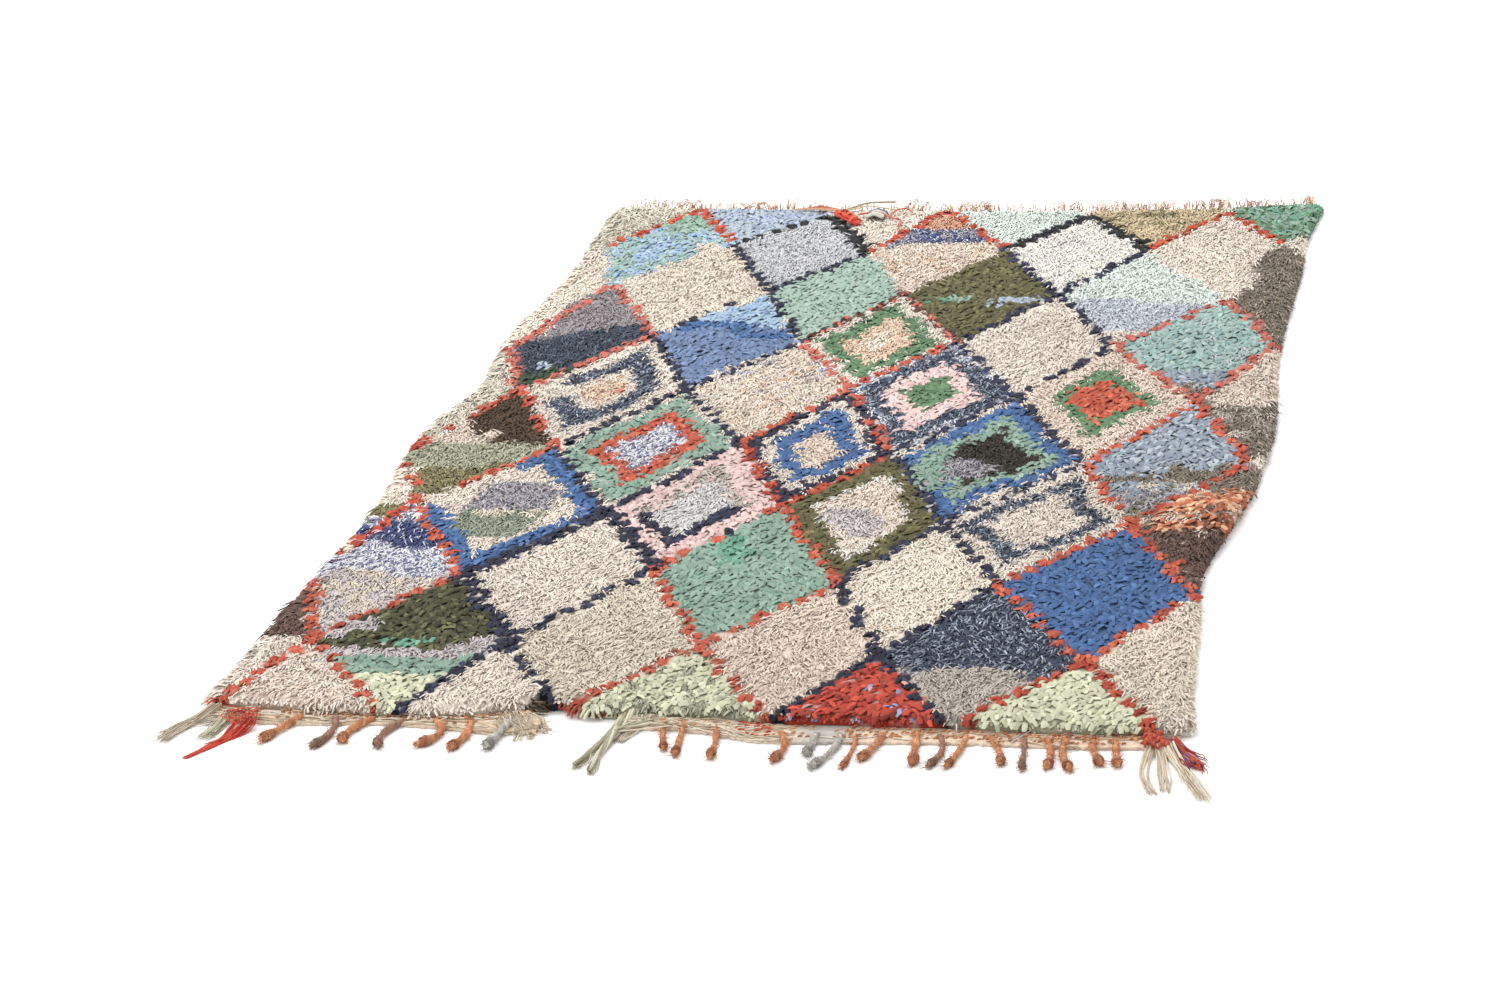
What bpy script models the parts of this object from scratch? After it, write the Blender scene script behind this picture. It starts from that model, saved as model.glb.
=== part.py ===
"""Boucherouite rug: one knotted pile cloth with flat-woven ends, its tasselled fringes and its tied rags.

Metres. X runs across the rug, Y along it towards the far end, Z up from the floor."""

import math
from collections import namedtuple

import bmesh
import bpy
import numpy as np
from mathutils import Vector

# Heights above the floor
PILE_HEIGHT = 0.024
PILE_EDGE_HEIGHT = 0.015
WEAVE_HEIGHT = 0.005
PILE_WAVE = 0.0014

# How far in from its edge the pile takes to reach its full height
SHOULDER = 0.014
PILE_STEP = 0.001

# Space left between pieces that touch
GAP = 0.0004
EDGE_GAP = 0.0005

# Squares of the cloth between its shoulders
COLUMNS = 22
ROWS = 34

# The two long edges, uneven as woven
Side = namedtuple("Side", "y left right")
SIDES = (
    Side(-1.18, -0.690, 0.720),
    Side(-1.10, -0.674, 0.746),
    Side(-1.00, -0.669, 0.732),
    Side(-0.85, -0.668, 0.720),
    Side(-0.70, -0.666, 0.706),
    Side(-0.58, -0.667, 0.692),
    Side(-0.50, -0.655, 0.699),
    Side(-0.38, -0.664, 0.718),
    Side(-0.24, -0.681, 0.734),
    Side(-0.10, -0.692, 0.738),
    Side(0.02, -0.686, 0.739),
    Side(0.16, -0.660, 0.726),
    Side(0.30, -0.679, 0.713),
    Side(0.45, -0.693, 0.706),
    Side(0.60, -0.682, 0.703),
    Side(0.80, -0.677, 0.704),
    Side(1.00, -0.686, 0.697),
    Side(1.20, -0.703, 0.710),
)

# The near end: where the flat weave ends and where the pile begins
Near = namedtuple("Near", "x weave pile")
NEAR_END = (
    Near(-0.70, -1.160, -1.116),
    Near(-0.55, -1.169, -1.124),
    Near(-0.40, -1.158, -1.134),
    Near(-0.28, -1.167, -1.124),
    Near(-0.20, -1.176, -1.103),
    Near(-0.15, -1.165, -1.093),
    Near(-0.09, -1.155, -1.108),
    Near(-0.03, -1.142, -1.104),
    Near(0.05, -1.142, -1.103),
    Near(0.14, -1.167, -1.112),
    Near(0.28, -1.160, -1.110),
    Near(0.45, -1.151, -1.107),
    Near(0.62, -1.150, -1.110),
    Near(0.75, -1.137, -1.098),
)

# The far end, the same way
Far = namedtuple("Far", "x pile weave")
FAR_END = (
    Far(-0.70, 1.176, 1.200),
    Far(-0.53, 1.158, 1.190),
    Far(-0.32, 1.150, 1.186),
    Far(-0.12, 1.145, 1.182),
    Far(0.08, 1.139, 1.176),
    Far(0.28, 1.144, 1.180),
    Far(0.47, 1.157, 1.190),
    Far(0.71, 1.190, 1.212),
)

# Where the cloth doesn't lie flat: middle, reach each way and rise
Swell = namedtuple("Swell", "x y half_width half_length rise")
SWELLS = (
    Swell(-0.185, -1.085, 0.055, 0.055, 0.013),
    Swell(0.700, -0.360, 0.130, 0.120, 0.016),
    Swell(-0.670, -0.430, 0.090, 0.090, 0.009),
)

# The notch where the near flat weave is missing: its corners, left end first, up to the pile
Corner = namedtuple("Corner", "x y")
NOTCH_LEFT = (Corner(-0.204, -1.080), Corner(-0.182, -1.118), Corner(-0.163, -1.150), Corner(-0.168, -1.200))
NOTCH_RIGHT = (Corner(-0.012, -1.200), Corner(-0.020, -1.140), Corner(-0.046, -1.118), Corner(-0.048, -1.080))
NOTCH_BITE = 0.002
NOTCH_STEPS = 16
NOTCH_CUT_HEIGHT = 0.08

# The fringes: a heading cord along the edge and the knotted warp ends that hang from it
HEADING_DEPTH = 0.006
HEADING_HEIGHT = 0.004
TASSEL_STEPS = 5
# Share of a tassel's thickness at its neck, along its shank, at its knot and at its tip
TASSEL_SHAPE = (0.85, 0.80, 0.85, 1.25, 0.70)
RAG_SHAPE = (1.00, 0.85, 0.65, 0.45, 0.18)
CORD_SHAPE = (1.00, 1.00, 0.95, 0.90, 0.60)

# root: place along the edge, across and out: from root to tip, bend: sideways belly of the cord
Tassel = namedtuple("Tassel", "root across out thickness bend")
NEAR_LEFT_TASSELS = (
    Tassel(-0.529, -0.032, 0.060, 0.013, 0.000),
    Tassel(-0.476, -0.004, 0.078, 0.012, 0.012),
    Tassel(-0.420, -0.020, 0.062, 0.013, -0.010),
    Tassel(-0.370, -0.012, 0.072, 0.012, -0.012),
    Tassel(-0.325, -0.006, 0.062, 0.013, 0.022),
    Tassel(-0.272, -0.006, 0.062, 0.013, 0.008),
    Tassel(-0.216, -0.010, 0.052, 0.014, 0.000),
    Tassel(-0.192, -0.003, 0.022, 0.010, 0.000),
)
NEAR_RIGHT_TASSELS = (
    Tassel(0.006, 0.022, 0.064, 0.010, 0.000),
    Tassel(0.038, 0.010, 0.080, 0.011, 0.000),
    Tassel(0.085, 0.013, 0.075, 0.011, 0.004),
    Tassel(0.180, 0.006, 0.060, 0.012, 0.012),
    Tassel(0.232, -0.002, 0.040, 0.012, 0.000),
    Tassel(0.262, -0.020, 0.082, 0.011, 0.010),
    Tassel(0.286, 0.000, 0.078, 0.008, 0.004),
    Tassel(0.322, -0.016, 0.056, 0.012, 0.004),
    Tassel(0.372, 0.010, 0.064, 0.013, 0.000),
    Tassel(0.402, 0.000, 0.072, 0.010, 0.012),
    Tassel(0.438, -0.010, 0.072, 0.010, 0.004),
    Tassel(0.474, 0.026, 0.058, 0.011, 0.006),
    Tassel(0.522, 0.010, 0.072, 0.009, 0.000),
    Tassel(0.552, 0.012, 0.064, 0.012, 0.006),
    Tassel(0.580, 0.018, 0.068, 0.012, -0.008),
    Tassel(0.616, 0.020, 0.050, 0.012, -0.004),
    Tassel(0.646, 0.012, 0.054, 0.012, 0.000),
)
FAR_TASSELS = (
    Tassel(-0.600, 0.004, 0.046, 0.012, 0.000),
    Tassel(-0.548, 0.008, 0.030, 0.009, 0.004),
    Tassel(-0.470, -0.006, 0.026, 0.008, 0.000),
    Tassel(-0.400, 0.010, 0.030, 0.009, -0.004),
    Tassel(-0.340, -0.008, 0.034, 0.009, 0.000),
    Tassel(-0.280, 0.008, 0.028, 0.008, 0.004),
    Tassel(-0.105, -0.010, 0.036, 0.009, 0.000),
    Tassel(-0.066, 0.010, 0.034, 0.008, 0.004),
    Tassel(-0.012, 0.014, 0.044, 0.009, -0.006),
    Tassel(0.030, -0.006, 0.040, 0.008, 0.000),
    Tassel(0.215, 0.006, 0.030, 0.009, 0.000),
    Tassel(0.280, -0.008, 0.040, 0.009, 0.004),
    Tassel(0.325, 0.008, 0.036, 0.008, 0.000),
    Tassel(0.368, -0.006, 0.038, 0.009, -0.004),
    Tassel(0.460, 0.012, 0.042, 0.009, 0.004),
    Tassel(0.492, -0.008, 0.034, 0.008, 0.000),
    Tassel(0.570, 0.008, 0.036, 0.009, 0.000),
    Tassel(0.612, -0.006, 0.034, 0.008, 0.004),
    Tassel(0.640, 0.010, 0.030, 0.008, 0.000),
)
LEFT_CORNER_TASSELS = (
    Tassel(-0.674, -0.038, 0.066, 0.022, -0.008),
    Tassel(-0.646, -0.008, 0.052, 0.016, 0.000),
)
RIGHT_CORNER_TASSELS = (
    Tassel(0.679, 0.006, 0.124, 0.010, -0.012),
    Tassel(0.693, 0.014, 0.122, 0.010, 0.004),
    Tassel(0.705, 0.072, 0.134, 0.009, 0.000),
    Tassel(0.716, 0.052, 0.064, 0.014, 0.006),
)
RED_RAG_TASSELS = (Tassel(-0.592, -0.060, 0.112, 0.024, 0.000),)

# The two cords that the torn warp was twisted into, at the right of the notch
NOTCH_CORDS = (
    Tassel(-0.061, -0.026, 0.140, 0.013, 0.004),
    Tassel(-0.046, -0.013, 0.150, 0.013, -0.004),
)
NOTCH_CORD_EDGE = -1.1245

# How far each fringe's heading runs, from left to right
NEAR_LEFT_SPAN = (-0.556, -0.184)
NEAR_RIGHT_SPAN = (-0.010, 0.664)
FAR_SPAN = (-0.660, 0.680)
LEFT_CORNER_SPAN = (-0.686, -0.632)
RIGHT_CORNER_SPAN = (0.672, 0.727)
RED_RAG_SPAN = (-0.606, -0.578)
NOTCH_CORD_SPAN = (-0.069, -0.0385)

# The cord that overcasts the torn edge of the pile
EDGE_CORD_RADIUS = 0.003
EDGE_CORD_SPAN = (-0.158, -0.058)

# The red rags tied over the far end, lying on the pile
BUNDLE_START = Vector((-0.236, 1.118))
BUNDLE_END = Vector((-0.176, 1.030))
BUNDLE_WIDTH = 0.030
BUNDLE_HEIGHT = 0.011
BUNDLE_SHAPE = (0.45, 0.85, 1.00, 0.90, 0.70, 0.35)
BUNDLE_SIDES = 10


def clear_scene():
    for thing in list(bpy.data.objects):
        bpy.data.objects.remove(thing)


def yarn_material(name, colour, roughness=0.95):
    made = bpy.data.materials.new(name)
    made.use_nodes = True
    shader = made.node_tree.nodes["Principled BSDF"]
    shader.inputs["Base Color"].default_value = (*colour, 1.0)
    shader.inputs["Roughness"].default_value = roughness
    shader.inputs["Metallic"].default_value = 0.0
    return made


def add_object(name, shape, material):
    made = bpy.data.objects.new(name, shape)
    made.data.materials.append(material)
    bpy.context.scene.collection.objects.link(made)
    return made


def mesh_from(built, name):
    bmesh.ops.recalc_face_normals(built, faces=built.faces)
    mesh = bpy.data.meshes.new(name)
    built.to_mesh(mesh)
    built.free()
    return mesh


def along(table, key, column, at):
    """A smooth line through one column of a table, read at a place on another column."""
    places = [getattr(row, key) for row in table]
    values = [getattr(row, column) for row in table]
    at = min(max(at, places[0]), places[-1])
    slopes = np.gradient(values, places)
    i = min(int(np.searchsorted(places, at, side="right")) - 1, len(places) - 2)
    step = places[i + 1] - places[i]
    t = (at - places[i]) / step
    return (
        (2 * t**3 - 3 * t**2 + 1) * values[i]
        + (t**3 - 2 * t**2 + t) * step * slopes[i]
        + (3 * t**2 - 2 * t**3) * values[i + 1]
        + (t**3 - t**2) * step * slopes[i + 1]
    )


def rise_at(x, y):
    """How far the underside stands off the floor."""
    total = 0.0
    for swell in SWELLS:
        away = math.hypot((x - swell.x) / swell.half_width, (y - swell.y) / swell.half_length)
        if away < 1:
            total += swell.rise * (0.5 + 0.5 * math.cos(math.pi * away))
    return total


def pile_wave(x, y):
    """The pile lies a little higher and lower from row to row."""
    return PILE_WAVE * math.sin(9.0 * x + 2.0 * y) * math.sin(5.5 * y - 3.0 * x)


def row_lines():
    """Each row of the cloth, near end first: its Y for a given X, and the height of its top."""
    lines = [
        (lambda x: along(NEAR_END, "x", "weave", x), WEAVE_HEIGHT),
        (lambda x: along(NEAR_END, "x", "pile", x) - PILE_STEP, WEAVE_HEIGHT),
        (lambda x: along(NEAR_END, "x", "pile", x), PILE_EDGE_HEIGHT),
    ]
    for k in range(ROWS + 1):
        share = k / ROWS

        def line(x, share=share):
            near = along(NEAR_END, "x", "pile", x) + SHOULDER
            far = along(FAR_END, "x", "pile", x) - SHOULDER
            return near + share * (far - near)

        lines.append((line, PILE_HEIGHT))
    lines += [
        (lambda x: along(FAR_END, "x", "pile", x), PILE_EDGE_HEIGHT),
        (lambda x: along(FAR_END, "x", "pile", x) + PILE_STEP, WEAVE_HEIGHT),
        (lambda x: along(FAR_END, "x", "weave", x), WEAVE_HEIGHT),
    ]
    return lines


def across(column, y):
    """X of one column of the cloth at this Y: both edges, their shoulders and even steps between."""
    left = along(SIDES, "y", "left", y)
    right = along(SIDES, "y", "right", y)
    if column == 0:
        return left
    if column == COLUMNS + 2:
        return right
    return left + SHOULDER + (column - 1) / COLUMNS * (right - left - 2 * SHOULDER)


def cloth_places():
    """Rows of (x, y, top height above the underside), one for each column."""
    found = []
    for line, height in row_lines():
        row = []
        for column in range(COLUMNS + 3):
            y = line(0.0)
            x = across(column, y)
            y = line(x)
            x = across(column, y)
            y = line(x)
            top = height
            if column in (0, COLUMNS + 2):
                top = min(height, PILE_EDGE_HEIGHT)
            if height == PILE_HEIGHT:
                top += pile_wave(x, y)
            row.append((x, y, top))
        found.append(row)
    return found


def cloth_mesh(places):
    built = bmesh.new()
    layers = []
    for is_top in (False, True):
        layers.append(
            [[built.verts.new((x, y, rise_at(x, y) + top * is_top)) for x, y, top in row] for row in places]
        )
    last_row, last_column = len(places) - 1, len(places[0]) - 1
    for layer in layers:
        for r in range(last_row):
            for c in range(last_column):
                built.faces.new((layer[r][c], layer[r][c + 1], layer[r + 1][c + 1], layer[r + 1][c]))
    ring = [(0, c) for c in range(last_column)]
    ring += [(r, last_column) for r in range(last_row)]
    ring += [(last_row, c) for c in range(last_column, 0, -1)]
    ring += [(r, 0) for r in range(last_row, 0, -1)]
    under, over = layers
    for (r1, c1), (r2, c2) in zip(ring, ring[1:] + ring[:1]):
        built.faces.new((under[r1][c1], under[r2][c2], over[r2][c2], over[r1][c1]))
    return mesh_from(built, "cloth")


def notch_edge(x):
    return along(NEAR_END, "x", "pile", x) + NOTCH_BITE


def notch_cutter(material):
    """A block over the missing flat weave, whose far side follows the torn edge of the pile."""
    start, end = NOTCH_RIGHT[-1].x, NOTCH_LEFT[0].x
    outline = [Vector((corner.x, corner.y, 0)) for corner in NOTCH_LEFT[1:] + NOTCH_RIGHT[:-1]]
    for k in range(NOTCH_STEPS + 1):
        x = start + k / NOTCH_STEPS * (end - start)
        outline.append(Vector((x, notch_edge(x), 0)))
    built = bmesh.new()
    face = built.faces.new([built.verts.new(place) for place in outline])
    moved = bmesh.ops.extrude_face_region(built, geom=[face])
    lifted = [item for item in moved["geom"] if isinstance(item, bmesh.types.BMVert)]
    bmesh.ops.translate(built, verts=lifted, vec=(0, 0, NOTCH_CUT_HEIGHT))
    bmesh.ops.translate(built, verts=built.verts, vec=(0, 0, -NOTCH_CUT_HEIGHT / 2))
    cutter = add_object("notch_cutter", mesh_from(built, "notch_cutter"), material)
    cutter.hide_render = True
    cutter.display_type = "WIRE"
    return cutter


def make_cloth(places):
    wool = yarn_material("undyed_wool", (0.72, 0.66, 0.57))
    cloth = add_object("rug_cloth", cloth_mesh(places), wool)
    cut = cloth.modifiers.new("notch", "BOOLEAN")
    cut.operation = "DIFFERENCE"
    cut.solver = "EXACT"
    cut.object = notch_cutter(wool)
    return cloth


def tassel_path(root, tassel, way):
    """Places along a tassel, from its root to its tip, in a soft bow."""
    tip = root + Vector((tassel.across, way * tassel.out))
    middle = (root + tip) / 2 + Vector((tassel.bend * 2, 0))
    path = []
    for k in range(TASSEL_STEPS + 1):
        t = k / TASSEL_STEPS
        path.append((1 - t) ** 2 * root + 2 * t * (1 - t) * middle + t**2 * tip)
    return path


def grow_tassel(built, face, tassel, way, shape):
    """Extrudes one face of the heading along the tassel's path, ring by ring."""
    middle = face.calc_center_median()
    path = tassel_path(Vector((middle.x, middle.y)), tassel, way)
    for k, share in enumerate(shape, start=1):
        grown = bmesh.ops.extrude_discrete_faces(built, faces=[face])
        face = grown["faces"][0]
        heading = (path[k] - path[k - 1]).normalized()
        sideways = Vector((heading.y, -heading.x)) * way
        if sideways.x < 0:
            sideways.negate()
        half = sideways * tassel.thickness * share / 2
        height = max(tassel.thickness * share * 0.75, HEADING_HEIGHT / 2)
        centre = face.calc_center_median()
        for corner in face.verts:
            side = 1 if corner.co.x > centre.x else -1
            place = path[k] + half * side
            corner.co = (place.x, place.y, height if corner.co.z > centre.z else 0.0)


def make_comb(name, material, edge, span, tassels, way, shape=TASSEL_SHAPE):
    """A fringe: the heading cord along an edge, with its tassels. way is -1 at the near end, +1 at the far."""
    stations = {*span, *(x for x, y in edge if span[0] < x < span[1])}
    stations |= {t.root + side * t.thickness / 2 for t in tassels for side in (-1, 1)}
    built = bmesh.new()
    rings = []
    for x in sorted(stations):
        inner = float(np.interp(x, *zip(*edge))) + way * EDGE_GAP
        outer = inner + way * HEADING_DEPTH
        corners = ((inner, 0.0), (outer, 0.0), (outer, HEADING_HEIGHT), (inner, HEADING_HEIGHT))
        rings.append([built.verts.new((x, y, z)) for y, z in corners])
    built.faces.new(rings[0])
    built.faces.new(rings[-1][::-1])
    roots = {}
    for here, there in zip(rings, rings[1:]):
        for k in range(4):
            face = built.faces.new((here[k], here[k - 1], there[k - 1], there[k]))
            if k == 2:
                roots[round((here[0].co.x + there[0].co.x) / 2, 4)] = face
    for tassel in tassels:
        face = roots[min(roots, key=lambda x: abs(x - tassel.root))]
        grow_tassel(built, face, tassel, way, shape)
    return add_object(name, mesh_from(built, name), material)


def make_fringes(places):
    """Each fringe follows the cloth's own edge, point by point."""
    near = [(x, y) for x, y, _ in places[0]]
    far = [(x, y) for x, y, _ in places[-1]]
    notch = [(x, NOTCH_CORD_EDGE) for x in NOTCH_CORD_SPAN]
    orange = yarn_material("orange_yarn", (0.55, 0.26, 0.14))
    cream = yarn_material("grey_cream_yarn", (0.58, 0.54, 0.45))
    red = yarn_material("red_rag", (0.60, 0.10, 0.08))
    make_comb("fringe_near_left", orange, near, NEAR_LEFT_SPAN, NEAR_LEFT_TASSELS, -1)
    make_comb("fringe_near_right", orange, near, NEAR_RIGHT_SPAN, NEAR_RIGHT_TASSELS, -1)
    make_comb("fringe_far", orange, far, FAR_SPAN, FAR_TASSELS, 1)
    make_comb("corner_tassel_left", cream, near, LEFT_CORNER_SPAN, LEFT_CORNER_TASSELS, -1, CORD_SHAPE)
    make_comb("corner_tassel_right", cream, near, RIGHT_CORNER_SPAN, RIGHT_CORNER_TASSELS, -1, CORD_SHAPE)
    make_comb("red_rag_left", red, near, RED_RAG_SPAN, RED_RAG_TASSELS, -1, RAG_SHAPE)
    make_comb("notch_cords", cream, notch, NOTCH_CORD_SPAN, NOTCH_CORDS, -1, CORD_SHAPE)


def make_edge_cord():
    """The overcast cord at the foot of the torn edge."""
    coral = yarn_material("coral_yarn", (0.66, 0.17, 0.12))
    curve = bpy.data.curves.new("notch_edge_cord", "CURVE")
    curve.dimensions = "3D"
    curve.bevel_depth = EDGE_CORD_RADIUS
    curve.bevel_resolution = 2
    curve.use_fill_caps = True
    spline = curve.splines.new("POLY")
    start, end = EDGE_CORD_SPAN
    steps = NOTCH_STEPS
    spline.points.add(steps)
    for k, point in enumerate(spline.points):
        x = start + k / steps * (end - start)
        y = notch_edge(x) - EDGE_CORD_RADIUS - 2 * EDGE_GAP
        point.co = (x, y, rise_at(x, y) + EDGE_CORD_RADIUS + GAP, 1.0)
    add_object("notch_edge_cord", curve, coral)


def make_bundle():
    """Red rags knotted together, lying across the pile at the far end: a flattened round bundle."""
    red = yarn_material("red_rag_bundle", (0.50, 0.08, 0.07))
    run = BUNDLE_END - BUNDLE_START
    sideways = Vector((run.y, -run.x)).normalized()
    floor = PILE_HEIGHT + GAP + max(pile_wave(end.x, end.y) for end in (BUNDLE_START, BUNDLE_END))
    built = bmesh.new()
    rings = []
    for k, share in enumerate(BUNDLE_SHAPE):
        middle = BUNDLE_START + run * k / (len(BUNDLE_SHAPE) - 1)
        ring = []
        for side in range(BUNDLE_SIDES):
            turn = 2 * math.pi * side / BUNDLE_SIDES
            place = middle + sideways * math.cos(turn) * BUNDLE_WIDTH / 2 * share
            height = floor + BUNDLE_HEIGHT * share * (0.5 + 0.5 * math.sin(turn))
            ring.append(built.verts.new((place.x, place.y, height)))
        rings.append(ring)
    for here, there in zip(rings, rings[1:]):
        for k in range(BUNDLE_SIDES):
            built.faces.new((here[k - 1], here[k], there[k], there[k - 1]))
    built.faces.new(rings[0][::-1])
    built.faces.new(rings[-1])
    add_object("red_rag_bundle", mesh_from(built, "red_rag_bundle"), red)


def centre_on_origin():
    """Puts the middle of the rug's footprint on the origin."""
    graph = bpy.context.evaluated_depsgraph_get()
    places = []
    for thing in bpy.data.objects:
        if not thing.hide_render:
            seen = thing.evaluated_get(graph)
            places += [tuple(vert.co) for vert in seen.to_mesh().vertices]
            seen.to_mesh_clear()
    middle = (np.min(places, axis=0) + np.max(places, axis=0)) / 2
    for thing in bpy.data.objects:
        thing.location = (-middle[0], -middle[1], 0.0)


clear_scene()
cloth_grid = cloth_places()
make_cloth(cloth_grid)
make_fringes(cloth_grid)
make_edge_cord()
make_bundle()
centre_on_origin()
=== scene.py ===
import math

import bpy
import numpy as np
from mathutils import Matrix, Vector
from mathutils.bvhtree import BVHTree
from mathutils.kdtree import KDTree


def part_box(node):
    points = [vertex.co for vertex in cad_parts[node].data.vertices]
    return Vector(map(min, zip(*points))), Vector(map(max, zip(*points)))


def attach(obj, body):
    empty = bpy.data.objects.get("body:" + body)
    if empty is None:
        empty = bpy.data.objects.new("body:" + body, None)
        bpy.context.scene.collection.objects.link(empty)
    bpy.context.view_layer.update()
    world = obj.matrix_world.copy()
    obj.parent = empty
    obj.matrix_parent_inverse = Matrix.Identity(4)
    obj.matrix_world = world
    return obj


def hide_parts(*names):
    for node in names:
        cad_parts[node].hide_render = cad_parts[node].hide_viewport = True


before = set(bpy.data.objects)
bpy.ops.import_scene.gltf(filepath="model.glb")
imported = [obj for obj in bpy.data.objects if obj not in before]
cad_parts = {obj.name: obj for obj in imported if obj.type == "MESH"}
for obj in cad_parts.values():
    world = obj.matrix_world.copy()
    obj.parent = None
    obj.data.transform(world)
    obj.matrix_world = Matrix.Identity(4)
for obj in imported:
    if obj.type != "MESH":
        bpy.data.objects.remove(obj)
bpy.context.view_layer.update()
latticeMiddle = np.array((-0.02786, 0.02017))  # middle of the diamond lattice, seen from the origin
studioLight = 0.82  # share of a yarn's shown colour that is its own


# Colours are given as shown on a screen under the studio's light, and turned into the yarn's own here
def linear(colour):
    shown = np.asarray(colour, float)
    return studioLight * np.where(shown <= 0.04045, shown / 12.92, ((shown + 0.055) / 1.055) ** 2.4)


def unit(vectors, least=1e-9):
    return vectors / (np.linalg.norm(vectors, axis=-1, keepdims=True) + least)


# The faces between the neighbours in a grid of numbered places
def gridQuads(grid):
    return np.stack((grid[:-1, :-1], grid[:-1, 1:], grid[1:, 1:], grid[1:, :-1]), -1).reshape(-1, 4)


def addObject(name, data):
    made = bpy.data.objects.new(name, data)
    bpy.context.scene.collection.objects.link(made)
    return made


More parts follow.
